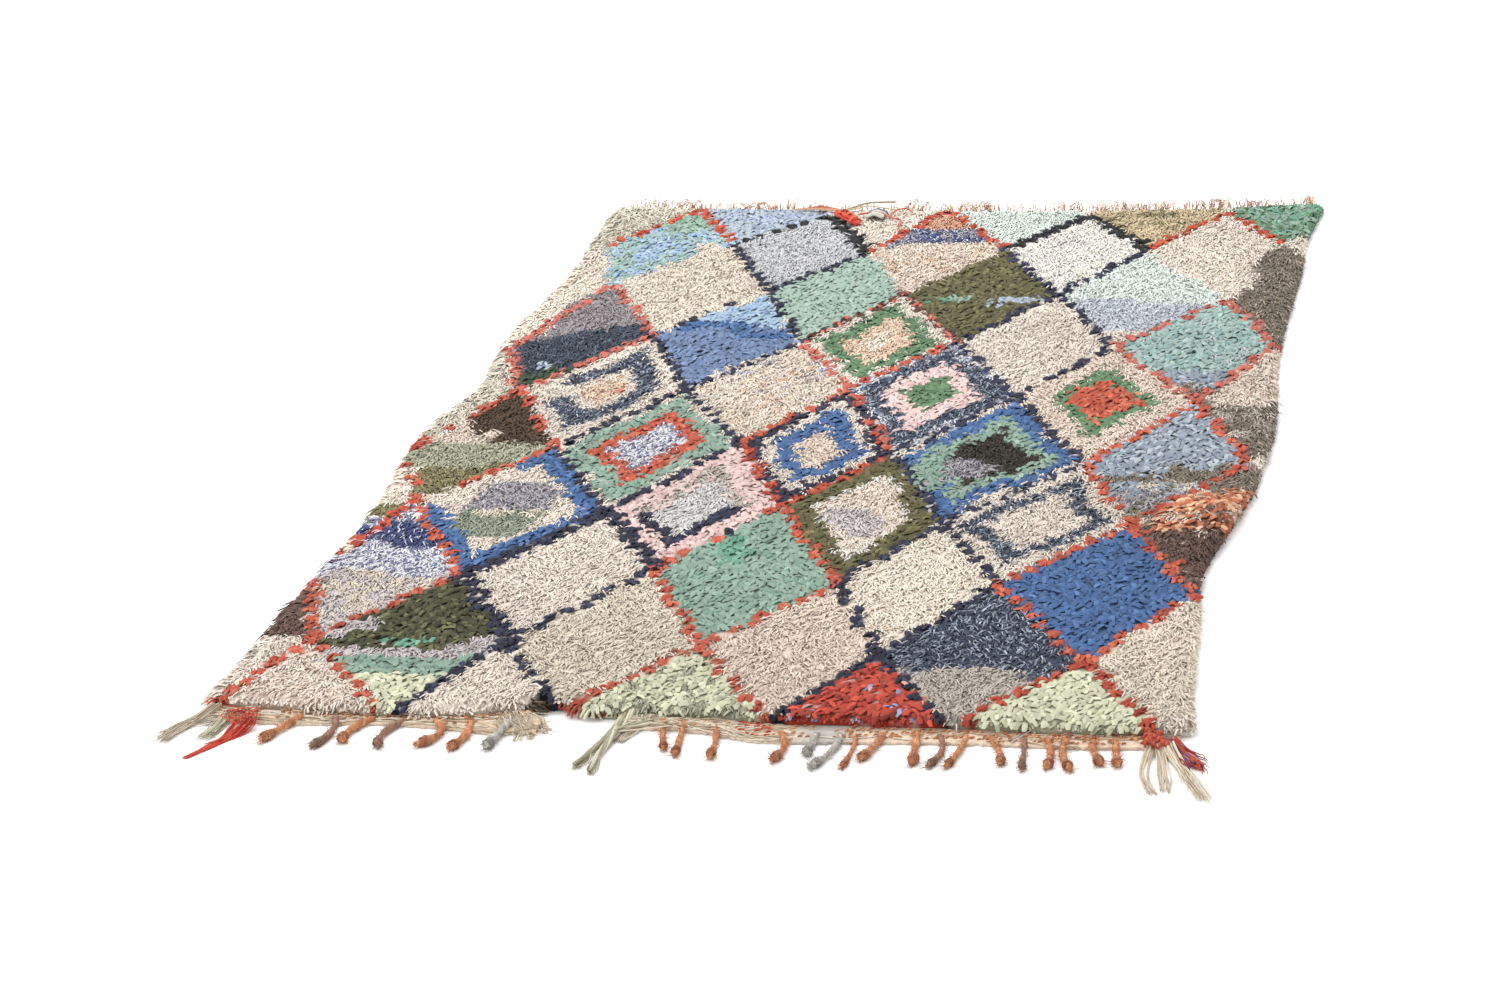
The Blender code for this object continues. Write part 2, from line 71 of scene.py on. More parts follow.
# Yarns and rags: main colour, fleck colour, share of flecks, how much tufts differ, and wool or rag
yarns = {
    "cream": ((0.905, 0.855, 0.805), (0.825, 0.755, 0.695), 0.16, 0.05, "wool"),
    "warmCream": ((0.925, 0.875, 0.815), (0.865, 0.795, 0.715), 0.12, 0.04, "wool"),
    "offWhite": ((0.9, 0.89, 0.86), (0.84, 0.81, 0.76), 0.12, 0.04, "wool"),
    "brownFleckedCream": ((0.905, 0.855, 0.795), (0.695, 0.595, 0.505), 0.12, 0.05, "wool"),
    "greige": ((0.895, 0.825, 0.765), (0.775, 0.695, 0.635), 0.2, 0.05, "wool"),
    "mottledGreige": ((0.835, 0.805, 0.735), (0.625, 0.575, 0.515), 0.2, 0.07, "wool"),
    "beige": ((0.875, 0.825, 0.755), (0.765, 0.705, 0.635), 0.18, 0.05, "wool"),
    "pinkBeige": ((0.885, 0.825, 0.765), (0.785, 0.695, 0.635), 0.22, 0.05, "wool"),
    "pinkCream": ((0.915, 0.855, 0.795), (0.845, 0.775, 0.705), 0.18, 0.04, "wool"),
    "lilacGrey": ((0.78, 0.78, 0.79), (0.7, 0.71, 0.74), 0.2, 0.04, "wool"),
    "lavenderGrey": ((0.81, 0.77, 0.77), (0.7, 0.66, 0.67), 0.22, 0.05, "wool"),
    "purpleGrey": ((0.6, 0.57, 0.58), (0.47, 0.44, 0.46), 0.3, 0.07, "wool"),
    "paleGrey": ((0.84, 0.83, 0.82), (0.74, 0.73, 0.71), 0.2, 0.05, "wool"),
    "warmGrey": ((0.76, 0.72, 0.68), (0.65, 0.61, 0.57), 0.22, 0.05, "wool"),
    "ice": ((0.86, 0.89, 0.86), (0.78, 0.83, 0.8), 0.18, 0.04, "wool"),
    "wheat": ((0.81, 0.74, 0.61), (0.7, 0.62, 0.48), 0.24, 0.05, "wool"),
    "peach": ((0.89, 0.79, 0.7), (0.82, 0.66, 0.55), 0.22, 0.05, "wool"),
    "rustPeach": ((0.82, 0.66, 0.56), (0.76, 0.48, 0.35), 0.3, 0.06, "wool"),
    "greyGreen": ((0.68, 0.68, 0.59), (0.57, 0.56, 0.47), 0.22, 0.05, "wool"),
    "taupe": ((0.47, 0.43, 0.38), (0.64, 0.57, 0.52), 0.22, 0.08, "wool"),
    "darkBrown": ((0.33, 0.25, 0.18), (0.25, 0.19, 0.15), 0.3, 0.07, "wool"),
    "brownMauve": ((0.44, 0.34, 0.3), (0.35, 0.26, 0.24), 0.3, 0.08, "wool"),
    "khaki": ((0.53, 0.5, 0.36), (0.43, 0.4, 0.28), 0.25, 0.07, "wool"),
    "mint": ((0.54, 0.63, 0.57), (0.47, 0.58, 0.52), 0.25, 0.05, "rag"),
    "paleMint": ((0.62, 0.7, 0.65), (0.55, 0.65, 0.59), 0.25, 0.04, "rag"),
    "deepMint": ((0.4, 0.59, 0.5), (0.5, 0.66, 0.57), 0.25, 0.06, "rag"),
    "paleLime": ((0.82, 0.82, 0.71), (0.75, 0.76, 0.63), 0.2, 0.05, "rag"),
    "aqua": ((0.61, 0.7, 0.67), (0.52, 0.63, 0.62), 0.28, 0.05, "rag"),
    "sky": ((0.62, 0.71, 0.79), (0.54, 0.64, 0.76), 0.28, 0.05, "rag"),
    "greyBlue": ((0.64, 0.68, 0.72), (0.54, 0.59, 0.67), 0.25, 0.05, "rag"),
    "lavenderBlue": ((0.58, 0.62, 0.74), (0.68, 0.7, 0.77), 0.25, 0.06, "rag"),
    "periwinkle": ((0.4, 0.47, 0.6), (0.46, 0.53, 0.66), 0.2, 0.05, "rag"),
    "royal": ((0.26, 0.38, 0.56), (0.33, 0.45, 0.63), 0.2, 0.06, "rag"),
    "slate": ((0.53, 0.57, 0.62), (0.66, 0.69, 0.72), 0.34, 0.05, "rag"),
    "charcoalBlue": ((0.25, 0.28, 0.35), (0.56, 0.59, 0.64), 0.38, 0.1, "wool"),
    "darkCharcoal": ((0.24, 0.27, 0.32), (0.36, 0.4, 0.46), 0.18, 0.1, "wool"),
    "indigoSpeckle": ((0.87, 0.87, 0.89), (0.43, 0.45, 0.6), 0.36, 0.05, "wool"),
    "darkIndigo": ((0.25, 0.29, 0.46), (0.76, 0.77, 0.82), 0.24, 0.08, "wool"),
    "olive": ((0.36, 0.34, 0.22), (0.43, 0.41, 0.28), 0.28, 0.09, "rag"),
    "darkOlive": ((0.27, 0.27, 0.18), (0.4, 0.39, 0.27), 0.28, 0.11, "rag"),
    "green": ((0.38, 0.5, 0.37), (0.32, 0.44, 0.32), 0.25, 0.06, "rag"),
    "darkGreen": ((0.2, 0.27, 0.2), (0.28, 0.35, 0.26), 0.25, 0.08, "rag"),
    "pink": ((0.86, 0.75, 0.73), (0.8, 0.67, 0.66), 0.22, 0.04, "rag"),
    "navy": ((0.14, 0.14, 0.22), (0.22, 0.23, 0.32), 0.2, 0.08, "rag"),
    "black": ((0.11, 0.11, 0.12), (0.19, 0.2, 0.21), 0.2, 0.08, "rag"),
    "coral": ((0.7, 0.31, 0.23), (0.75, 0.4, 0.31), 0.3, 0.07, "rag"),
    "coralPink": ((0.73, 0.41, 0.36), (0.69, 0.34, 0.29), 0.25, 0.07, "rag"),
    "coralRed": ((0.67, 0.26, 0.18), (0.72, 0.35, 0.25), 0.25, 0.08, "rag"),
    "redRag": ((0.73, 0.28, 0.21), (0.6, 0.19, 0.15), 0.22, 0.09, "rag"),
    "motleyRag": ((0.78, 0.6, 0.58), (0.56, 0.58, 0.72), 0.5, 0.1, "rag"),
    "brownChecks": ((0.34, 0.22, 0.18), (0.8, 0.42, 0.36), 0.3, 0.08, "rag"),
    "navyChecks": ((0.16, 0.17, 0.27), (0.72, 0.7, 0.68), 0.2, 0.06, "rag"),
    "duskGrey": ((0.66, 0.64, 0.66), (0.45, 0.44, 0.49), 0.36, 0.06, "wool"),
    "hazeBlue": ((0.78, 0.8, 0.83), (0.67, 0.71, 0.76), 0.25, 0.05, "wool"),
    "blackBrown": ((0.19, 0.17, 0.14), (0.27, 0.24, 0.21), 0.25, 0.07, "wool"),
    "sageGrey": ((0.58, 0.61, 0.53), (0.48, 0.51, 0.45), 0.28, 0.06, "wool"),
    "orangeRed": ((0.72, 0.42, 0.3), (0.84, 0.67, 0.54), 0.38, 0.09, "rag"),
}
yarnNames = list(yarns)

# Where the borders cross, row by row from the far end, in metres from the lattice's middle
crossings = (
    ((-0.524, 1.151), (-0.256, 1.106), (-0.019, 1.151), (0.256, 1.113), (0.532, 1.132)),
    ((-0.662, 0.899), (-0.403, 0.932), (-0.127, 0.88), (0.136, 0.9), (0.408, 0.902), (0.661, 0.939)),
    ((-0.579, 0.693), (-0.268, 0.664), (-0.007, 0.646), (0.278, 0.651), (0.59, 0.624)),
    ((-0.675, 0.344), (-0.426, 0.42), (-0.14, 0.39), (0.139, 0.392), (0.42, 0.385), (0.7, 0.397)),
    ((-0.593, 0.128), (-0.292, 0.148), (-0.005, 0.158), (0.29, 0.135), (0.6, 0.114)),
    ((-0.696, -0.17), (-0.447, -0.136), (-0.135, -0.099), (0.136, -0.141), (0.454, -0.161), (0.717, -0.149)),
    ((-0.608, -0.385), (-0.284, -0.401), (-0.001, -0.365), (0.269, -0.419), (0.561, -0.403)),
    ((-0.683, -0.654), (-0.444, -0.666), (-0.142, -0.62), (0.157, -0.665), (0.4, -0.642), (0.695, -0.667)),
    ((-0.598, -0.91), (-0.294, -0.895), (0.0, -0.892), (0.272, -0.906), (0.569, -0.905)),
    ((-0.665, -1.132), (-0.392, -1.157), (-0.144, -1.117), (0.159, -1.125), (0.412, -1.123), (0.697, -1.109)),
)

# The borders between each row of crossings and the next, from left to right.
# A star means broken knots, two stars a few knots only, and a plus a second knot beside each.
borders = (
    "coralRed coralRed black* black+ coralRed coralRed black+ black+ coralRed coralRed",
    "none none navy navy none none navy navy none none",
    "coralPink* coralPink navy* navy brownChecks brownChecks navy navy coralPink* coralPink",
    "coralPink coralPink navy navyChecks coralPink coral navyChecks navy* coralPink coralPink",
    "coral* coral* navy navy coral* coral* navyChecks navy coral coral",
    "coral* coral* navy navy coralRed coralRed navyChecks navyChecks coral* coralRed",
    "coralRed coral navy+ navy+ coral* coral navy navy coral coral",
    "coral coral navy+ navy coral coral navy navy coral coral",
    "coral coral navy navy coral coral navy navy coralRed coralRed",
)

# Each diamond by the crossing numbers of its middle, across and down.
# s runs from -1 at its far corner to 1 at its near one, t from -1 at the left to 1 at the right,
# and r from 0 in the middle to 1 at the border. Later layers lie over earlier ones:
# all, ring r r, band s s t t, spot s t reachInS reachInT, and strew share s s
diamonds = {
    (0, 0): "mottledGreige all",
    (1, 0): "greyBlue all; lavenderBlue strew 0.12 -1 1",
    (2, 0): "cream all",
    (3, 0): "ice all",
    (4, 0): "wheat all; khaki strew 0.1 -1 0.5; khaki band 0.02 0.1 -0.55 -0.25; khaki band 0.02 0.12 -0.12 0.22",
    (5, 0): "mint all; green strew 0.35 -1 1; deepMint strew 0.3 -1 1",
    (0.5, 1): (
        "aqua all; sky strew 0.4 -1 1; sky spot 0.05 -0.15 0.28 0.3; mint spot -0.6 0 0.25 0.4; "
        "pinkCream band 0 1 0.55 1; pinkCream band 0.4 1 0.3 1"
    ),
    (1.5, 1): "lilacGrey all",
    (2.5, 1): (
        "pinkBeige all; rustPeach band -1 -0.55 -1 1; darkIndigo band -0.55 -0.18 -1 1; "
        "duskGrey strew 0.45 -0.55 -0.18; pinkBeige band -0.18 1 -1 1; peach strew 0.2 -0.1 0.5"
    ),
    (3.5, 1): "offWhite all",
    (4.5, 1): "cream all",
    (0, 2): "warmCream all",
    (1, 2): "brownFleckedCream all",
    (2, 2): "paleMint all",
    (3, 2): (
        "olive all; deepMint band 0.1 0.2 -1 -0.25; mint band 0.11 0.18 -0.6 -0.1; greyBlue band 0.08 0.2 0.1 1; "
        "olive strew 0.15 0 0.25"
    ),
    (4, 2): "ice all; hazeBlue band 0.1 0.72 -1 1; cream band 0.72 1 -1 1",
    (5, 2): "taupe all",
    (0.5, 3): (
        "purpleGrey all; darkCharcoal band -0.17 0.55 -1 1; greyBlue band 0.4 0.47 -0.5 0; darkGreen band 0.55 1 -1 1"
    ),
    (1.5, 3): (
        "periwinkle all; sky band -1 -0.32 -1 1; royal band -0.32 -0.14 -1 0.15; royal band -0.22 -0.04 0.1 1; "
        "cream ring 0.9 1.2; periwinkle band -0.1 1 -1 0.1"
    ),
    (2.5, 3): "cream all; green ring 0.52 0.8; peach ring 0.22 0.52; warmCream ring 0 0.22",
    (3.5, 3): "cream all",
    (4.5, 3): "aqua all; lilacGrey strew 0.08 -1 1; slate band 0.45 0.72 -1 1; taupe band 0.72 1 -1 1",
    (0, 4): "mottledGreige all; cream strew 0.3 -1 1",
    (1, 4): (
        "cream all; charcoalBlue ring 0.42 0.72; cream ring 0.3 0.42; peach ring 0 0.3; "
        "coralPink strew 0.03 -0.2 0.3; cream band -0.1 0.12 -0.8 -0.3"
    ),
    (2, 4): (
        "beige all; pinkCream strew 0.3 -1 1; peach strew 0.1 -0.6 0.6; lavenderGrey strew 0.12 -0.7 0.2; "
        "lavenderBlue strew 0.04 -0.5 -0.1; duskGrey strew 0.03 -0.6 0.1"
    ),
    (3, 4): "charcoalBlue all; indigoSpeckle ring 0.88 0.97; pink ring 0.34 0.61; green ring 0 0.34",
    (4, 4): "greige all; green ring 0.38 0.58; coral ring 0 0.38",
    (5, 4): "pinkBeige all; taupe band 0 1 -1 1; warmGrey strew 0.25 0 1",
    (0.5, 5): (
        "greige all; darkBrown band -1 -0.08 0.05 1; darkBrown band -1 -0.3 -0.4 1; greyGreen band -0.2 0.3 -1 0; "
        "greyGreen band -0.08 0.3 0 1; khaki band 0.3 0.9 -1 1"
    ),
    (1.5, 5): "mint all; cream ring 0.87 1.2; coral ring 0.38 0.61; indigoSpeckle ring 0 0.38",
    (2.5, 5): "cream all; navy ring 0.8 0.98; royal ring 0.37 0.65; greige ring 0 0.37",
    (3.5, 5): (
        "royal all; cream ring 0.88 1.2; mint ring 0 0.66; blackBrown ring 0 0.46; mint band -0.2 0.08 -0.6 -0.3; "
        "duskGrey band 0.1 0.38 -0.34 0.12; mint band 0.1 0.5 -0.7 -0.34"
    ),
    # The taupe bands in this diamond are painted shade, dark where the hollow beside the right edge's swell lies in
    # shadow
    (4.5, 5): (
        "slate all; taupe band 0.18 0.3 -1 0; taupe band 0.06 0.32 0 1; duskGrey band 0.48 1 -1 1; "
        "khaki strew 0.25 0.4 1; beige band 0.34 0.42 -0.2 0.5"
    ),
    (0, 6): "pinkCream all; khaki band 0.02 0.62 -1 1",
    (1, 6): (
        "royal all; cream band -0.66 0.12 -1 -0.22; cream ring 0 0.72; duskGrey band -0.36 0.06 -0.4 0.36; "
        "sageGrey band 0.08 0.42 -0.4 0.3; beige band 0.04 0.09 -0.4 0.4"
    ),
    (2, 6): "pink all; warmGrey ring 0.48 0.66; navy band 0 0.66 -0.66 0.66; paleGrey ring 0 0.44; pink ring 0.66 1",
    (3, 6): "olive all; offWhite ring 0.55 0.66; pinkCream ring 0 0.6; lavenderGrey spot 0.1 -0.06 0.2 0.4",
    (4, 6): "cream all; charcoalBlue ring 0.52 0.76",
    # The taupe left at this diamond's far part is painted shade, dark where the hollow beside the right edge's swell
    # lies in shadow
    (5, 6): (
        "taupe all; orangeRed band -0.52 0.08 -0.72 1; brownMauve strew 0.1 -0.5 0.08; pinkBeige strew 0.16 -0.5 0; "
        "brownMauve band 0.08 1 -1 1; pinkBeige strew 0.05 0.1 1"
    ),
    (0.5, 7): (
        "lavenderGrey all; indigoSpeckle band -1 0.02 -1 1; darkIndigo band -0.72 -0.36 -0.25 1; "
        "darkIndigo band -0.6 -0.46 -1 1; beige strew 0.4 0.02 1"
    ),
    (1.5, 7): "cream all",
    (2.5, 7): "mint all; deepMint spot -0.3 -0.25 0.2 0.2",
    (3.5, 7): "warmCream all",
    (4.5, 7): "royal all",
    (0, 8): "brownMauve all; cream band 0 1 -1 1",
    (1, 8): (
        "darkOlive all; lavenderGrey band -0.27 -0.06 -1 -0.42; deepMint band -0.05 0.05 -0.25 0.22; "
        "lavenderGrey band 0.1 0.25 -1 1; lavenderGrey band -0.02 0.1 0.6 1; mint band 0.25 0.45 -1 1; "
        "paleLime band 0.45 1 -1 1"
    ),
    (2, 8): "beige all",
    (3, 8): "greige all",
    (4, 8): "charcoalBlue all; warmGrey band 0.18 1 -1 1",
    (5, 8): "pinkCream all; sageGrey spot -0.22 -0.62 0.05 0.12; beige strew 0.45 -1 1; beige band 0.1 1 -1 1",
    (0.5, 9): "greige all; cream strew 0.3 -1 1",
    (1.5, 9): "cream all; warmCream strew 0.3 -1 1",
    (2.5, 9): "paleLime all; greyGreen strew 0.36 -1 1",
    (3.5, 9): (
        "redRag all; motleyRag strew 0.13 -1 0.7; lavenderBlue strew 0.02 -1 0.5; "
        "lavenderBlue spot 0.74 0.18 0.05 0.06"
    ),
    (4.5, 9): "paleLime all",
}


lattice = {
    "across": 0.28,  # one diamond's width
    "down": 0.255,  # from one row of crossings to the next
    "middle": (2.5, 4.5),  # the crossing numbers at the lattice's middle
    "wander": 0.05,  # how far a diamond's inner edges stray, as a share of it
    "brokenShare": (1.0, 0.75, 0.3),  # share of knots tied with no star, one and two
}


def crossingList():
    found = []
    for down, row in enumerate(crossings):
        for k, (x, y) in enumerate(row):
            found.append((k + 0.5 * (down % 2 == 0), down, x, y))
    return np.array(found)


def crossingPlace(across, down):
    k = int(round(across - 0.5 * (down % 2 == 0)))
    return np.array(crossings[down][k])


# Numbers each place by the crossings round it, which were tied unevenly
def toLattice(x, y):
    known = crossingList()
    across = x / lattice["across"] + lattice["middle"][0]
    down = lattice["middle"][1] - y / lattice["down"]
    shiftAcross = known[:, 0] - (known[:, 2] / lattice["across"] + lattice["middle"][0])
    shiftDown = known[:, 1] - (lattice["middle"][1] - known[:, 3] / lattice["down"])
    away = (x[:, None] - known[:, 2]) ** 2 + (y[:, None] - known[:, 3]) ** 2
    weight = 1 / (away + 0.03**2) ** 2
    weight /= weight.sum(1, keepdims=True)
    return across + weight @ shiftAcross, down + weight @ shiftDown


# The yarn that each knot inside the diamonds is tied with
def chartKnots(x, y, dice):
    across, down = toLattice(x, y)
    m, n = np.round((2 * across + down) / 2), np.round((2 * across - down) / 2)
    middleAcross, middleDown = (m + n) / 2, m - n
    stray = lattice["wander"]
    s = down - middleDown + stray * np.sin(41 * x + 17 * y) * dice.uniform(0.2, 1.0, len(x))
    t = 2 * (across - middleAcross) + stray * np.sin(37 * y - 23 * x) * dice.uniform(0.2, 1.0, len(x))
    r = np.abs(s) + np.abs(t)
    luck = dice.random(len(x))
    yarn = np.full(len(x), yarnNames.index("cream"))
    for (i, j), layers in diamonds.items():
        here = (np.abs(middleAcross - i) < 0.1) & (np.abs(middleDown - j) < 0.1)
        for layer in layers.split("; "):
            name, shape, *size = layer.split()
            size = [float(v) for v in size]
            if shape == "all":
                worn = here
            elif shape == "ring":
                worn = here & (r >= size[0]) & (r < size[1])
            elif shape == "band":
                worn = here & (s >= size[0]) & (s < size[1]) & (t >= size[2]) & (t < size[3])
            elif shape == "spot":
                worn = here & (np.hypot((s - size[0]) / size[2], (t - size[1]) / size[3]) < 1)
            else:
                worn = here & (luck < size[0]) & (s >= size[1]) & (s < size[2])
                luck = dice.random(len(x))
            yarn[worn] = yarnNames.index(name)
    return yarn


# Each border is a chain of beads: one wide soft knot in each row that it crosses
beads = {
    "seed": 21, "halfWidth": 0.0108, "halfDepth": 0.0145, "stray": 0.0026,
    "sway": 0.0045, "swayRate": 70,  # how far the chains wander from a straight line, and how often
    "tufts": 9, "spreadAcross": 0.007, "spreadAlong": 0.01,
}


def rowSway(x, y):
    return 0.0035 * np.sin(9 * x + 0.7) + 0.002 * np.sin(31 * x + 60 * y)


def beadChains():
    dice = np.random.default_rng(beads["seed"])
    rowStart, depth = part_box("rug_cloth")[0].y, pile["knotDepth"]
    found = []
    for top, row in enumerate(borders):
        for k, name in enumerate(row.split()):
            stars, doubled = name.count("*"), "+" in name
            name = name.rstrip("*+")
            if name == "none":
                continue
            far = crossingPlace(k / 2, top + (k + top + 1) % 2) + latticeMiddle
            near = crossingPlace((k + 1) / 2, top + (k + top) % 2) + latticeMiddle
            if far[1] < near[1]:
                far, near = near, far
            for number in range(math.ceil((near[1] - rowStart) / depth), math.floor((far[1] - rowStart) / depth) + 1):
                y = rowStart + number * depth
                share = (y - near[1]) / (far[1] - near[1])
                x = near[0] + share * (far[0] - near[0])
                x += beads["sway"] * math.sin(beads["swayRate"] * y + 2.1 * k + 1.3 * top) * math.sin(math.pi * share)
                x += dice.normal(0, beads["stray"])
                if dice.random() < lattice["brokenShare"][stars]:
                    found.append((x, y + rowSway(x, y), yarnNames.index(name)))
                    if doubled:
                        found.append((x + 1.5 * beads["halfWidth"], y + rowSway(x, y), yarnNames.index(name)))
    return np.array(found)


def beadTree(chains):
    tree = KDTree(len(chains))
    for k, (x, y, _) in enumerate(chains):
        tree.insert((x / beads["halfWidth"], y / beads["halfDepth"], 0), k)
    tree.balance()
    return tree


# The bead that covers each place, or -1
def beadOver(tree, x, y):
    found = np.full(len(x), -1)
    for k, (px, py) in enumerate(zip(x / beads["halfWidth"], y / beads["halfDepth"])):
        _, index, away = tree.find((px, py, 0))
        if away < 1:
            found[k] = index
    return found


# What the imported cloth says: its outline, how high its underside stands and where it carries pile
survey = {"step": 0.004, "margin": 0.02, "pileTop": 0.01}


# Height of the cloth's underside at a place, and its thickness there
def probeCloth(x, y):
    foot = survey["tree"].ray_cast(Vector((x, y, -1)), Vector((0, 0, 1)))[0]
    if foot is None:
        return np.nan, 0.0
    return foot.z, survey["tree"].ray_cast(Vector((x, y, 1)), Vector((0, 0, -1)))[0].z - foot.z


def surveyCloth():
    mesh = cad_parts["rug_cloth"].data
    survey["tree"] = BVHTree.FromPolygons([v.co for v in mesh.vertices], [p.vertices for p in mesh.polygons])
    low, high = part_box("rug_cloth")
    xs = np.arange(low.x - survey["margin"], high.x + survey["margin"], survey["step"])
    ys = np.arange(low.y - survey["margin"], high.y + survey["margin"], survey["step"])
    under, thick = np.array([[probeCloth(x, y) for x in xs] for y in ys]).transpose(2, 0, 1)
    survey.update(xs=xs, ys=ys, under=under, pile=thick > survey["pileTop"])


def readSurvey(grid, x, y):
    c = np.clip(np.round((x - survey["xs"][0]) / survey["step"]).astype(int), 0, len(survey["xs"]) - 1)
    r = np.clip(np.round((y - survey["ys"][0]) / survey["step"]).astype(int), 0, len(survey["ys"]) - 1)
    return survey[grid][r, c]


def riseAt(x, y):
    return np.nan_to_num(readSurvey("under", x, y), nan=0.0)


def meshOf(name, places, quads, colour=None, strand=None, bake=None, normals=None):
    mesh = bpy.data.meshes.new(name)
    mesh.vertices.add(len(places))
    mesh.vertices.foreach_set("co", np.ascontiguousarray(places, np.float32).ravel())
    mesh.loops.add(quads.size)
    mesh.loops.foreach_set("vertex_index", np.ascontiguousarray(quads, np.int32).ravel())
    mesh.polygons.add(len(quads))
    mesh.polygons.foreach_set("loop_start", np.arange(0, quads.size, 4, dtype=np.int32))
    mesh.polygons.foreach_set("loop_total", np.full(len(quads), 4, np.int32))
    mesh.polygons.foreach_set("use_smooth", np.ones(len(quads), bool))
    mesh.update(calc_edges=True)
    if normals is not None:
        mesh.normals_split_custom_set_from_vertices(normals)
    if colour is not None:
        made = mesh.color_attributes.new("yarnColour", "FLOAT_COLOR", "POINT")
        made.data.foreach_set("color", np.column_stack((colour, np.ones(len(colour)))).astype(np.float32).ravel())
    if strand is not None:
        made = mesh.attributes.new("strand", "FLOAT_VECTOR", "POINT")
        made.data.foreach_set("vector", strand.astype(np.float32).ravel())
    if bake is not None:
        layer = mesh.uv_layers.new(name="OFBake", do_init=False)
        layer.uv.foreach_set("vector", bake[quads.ravel()].astype(np.float32).ravel())
    return addObject(name, mesh)


# Flattens places into a square, seen from above, for the colours that other programs read
def bakePlan(places):
    low, high = places[:, :2].min(0) - 0.002, places[:, :2].max(0) + 0.002
    return (places[:, :2] - low) / (high - low)


# Where the pile's solid feet end: lower at the edges, where the pile is only as deep as one row
bed = {"height": 0.0185, "rim": 0.008, "reach": 0.014, "lump": 0.0015}


def bedHeight(x, y):
    inside = np.zeros(len(x))
    for reach in (bed["reach"] / 3, bed["reach"] * 2 / 3, bed["reach"]):
        for k in range(8):
            turn = k * math.pi / 4
            inside += readSurvey("pile", x + reach * math.cos(turn), y + reach * math.sin(turn))
    share = np.clip((inside / 24 - 0.45) / 0.5, 0, 1)
    lumps = np.sin(310 * x) * np.sin(285 * y) + 0.8 * np.sin(173 * x + 60 * y) * np.sin(151 * y)
    return bed["rim"] + (bed["height"] - bed["rim"]) * np.sqrt(share) + bed["lump"] * lumps * share


def wayOf(tilt, turn):
    return np.stack((np.cos(tilt) * np.cos(turn), np.cos(tilt) * np.sin(turn), np.sin(tilt)), -1)


# Joined tufts. Each starts upright at its root and bends over to lie along its heading.
def tuftMesh(name, root, heading, size, look):
    count, rows = len(root), look["rows"]
    size = {key: value[:, None] for key, value in size.items()}
    along = np.linspace(0, 1, rows)
    tilt = size["rootTilt"] + (size["tipTilt"] - size["rootTilt"]) * along**0.7
    turn = heading[:, None] + size["swerve"] * along
    middle = (tilt[:, 1:] + tilt[:, :-1]) / 2
    places = np.repeat(root[:, None], rows, 1)
    places[:, 1:] += np.cumsum(size["length"][..., None] / (rows - 1) * wayOf(middle, turn[:, 1:]), 1)
    side = np.stack((np.sin(turn), -np.cos(turn), np.zeros_like(turn)), 2)
    up = np.cross(side, wayOf(tilt, turn))
    roll = (size["roll"] + size["twist"] * along)[..., None]
    wide = (np.cos(roll) * side + np.sin(roll) * up)[:, :, None]
    deep = (np.cos(roll) * up - np.sin(roll) * side)[:, :, None]
    half = (size["width"] * np.array(look["taper"]) / 2)[:, :, None, None]
    across, crest = np.array(look["across"])[:, None], np.array(look["crest"])[:, None]
    points = places[:, :, None] + half * (across * wide + crest * deep)
    floor = (riseAt(root[:, 0], root[:, 1]) + look["lowest"])[:, None, None]
    points[..., 2] = np.maximum(points[..., 2], floor)
    facing = unit(look["ownNormal"] * deep + look["round"] * across * wide + np.array(look["lean"]), 0)
    grid = np.arange(rows * len(across)).reshape(rows, -1)
    quads = (gridQuads(grid) + np.arange(count)[:, None, None] * grid.size).reshape(-1, 4)
    # Painted shade: each tuft's colour runs darker at its root and lighter at its tip
    colour = np.broadcast_to(size["colour"][:, None] * np.array(look["shade"])[:, None, None], points.shape)
    strand = np.zeros(points.shape)
    strand[..., 0] = (across * half)[..., 0]
    strand[..., 1] = (along * size["length"])[..., None]
    strand[..., 2] = size["mark"][..., None]
    foot = root[:, None, None, :2]
    plan = foot + look["bakeSpread"] * (points[..., :2] - foot)
    flat = [values.reshape(-1, 3) for values in (points, colour, strand, facing)]
    return meshOf(name, flat[0], quads, flat[1], flat[2], bakePlan(plan.reshape(-1, 2)), flat[3])


pile = {
    "seed": 7,
    "knotWidth": 0.0105,
    "knotDepth": 0.028,
    "sunk": 0.0013,  # how far below the bed's surface a tuft starts
    "overhang": 0.01,  # how far in from the near edge the last row is tied
    "edgeInset": 0.005,
    "woolPerKnot": 14,
    "ragPerKnot": 5,
    "cream": 0.8,  # wool lighter than this goes to the cream piece
    "beige": 0.735,
}
woolLook = {
    "rows": 3, "taper": (0.85, 1.0, 0.5), "across": (-1, 1), "crest": (0, 0), "round": 0.6,
    "shade": (0.92, 1.0, 1.02), "lowest": 0.002, "bakeSpread": 0.55, "ownNormal": 0.5, "lean": (0, 0, 0.85),
}
ragLook = {
    "rows": 4, "taper": (0.7, 1.0, 1.0, 0.72), "across": (-1, 0, 1), "crest": (0, 0.3, 0), "round": 0.6,
    "shade": (0.92, 0.97, 1.0, 1.02), "lowest": 0.002, "bakeSpread": 0.55, "ownNormal": 0.44, "lean": (0, 0, 0.95),
}
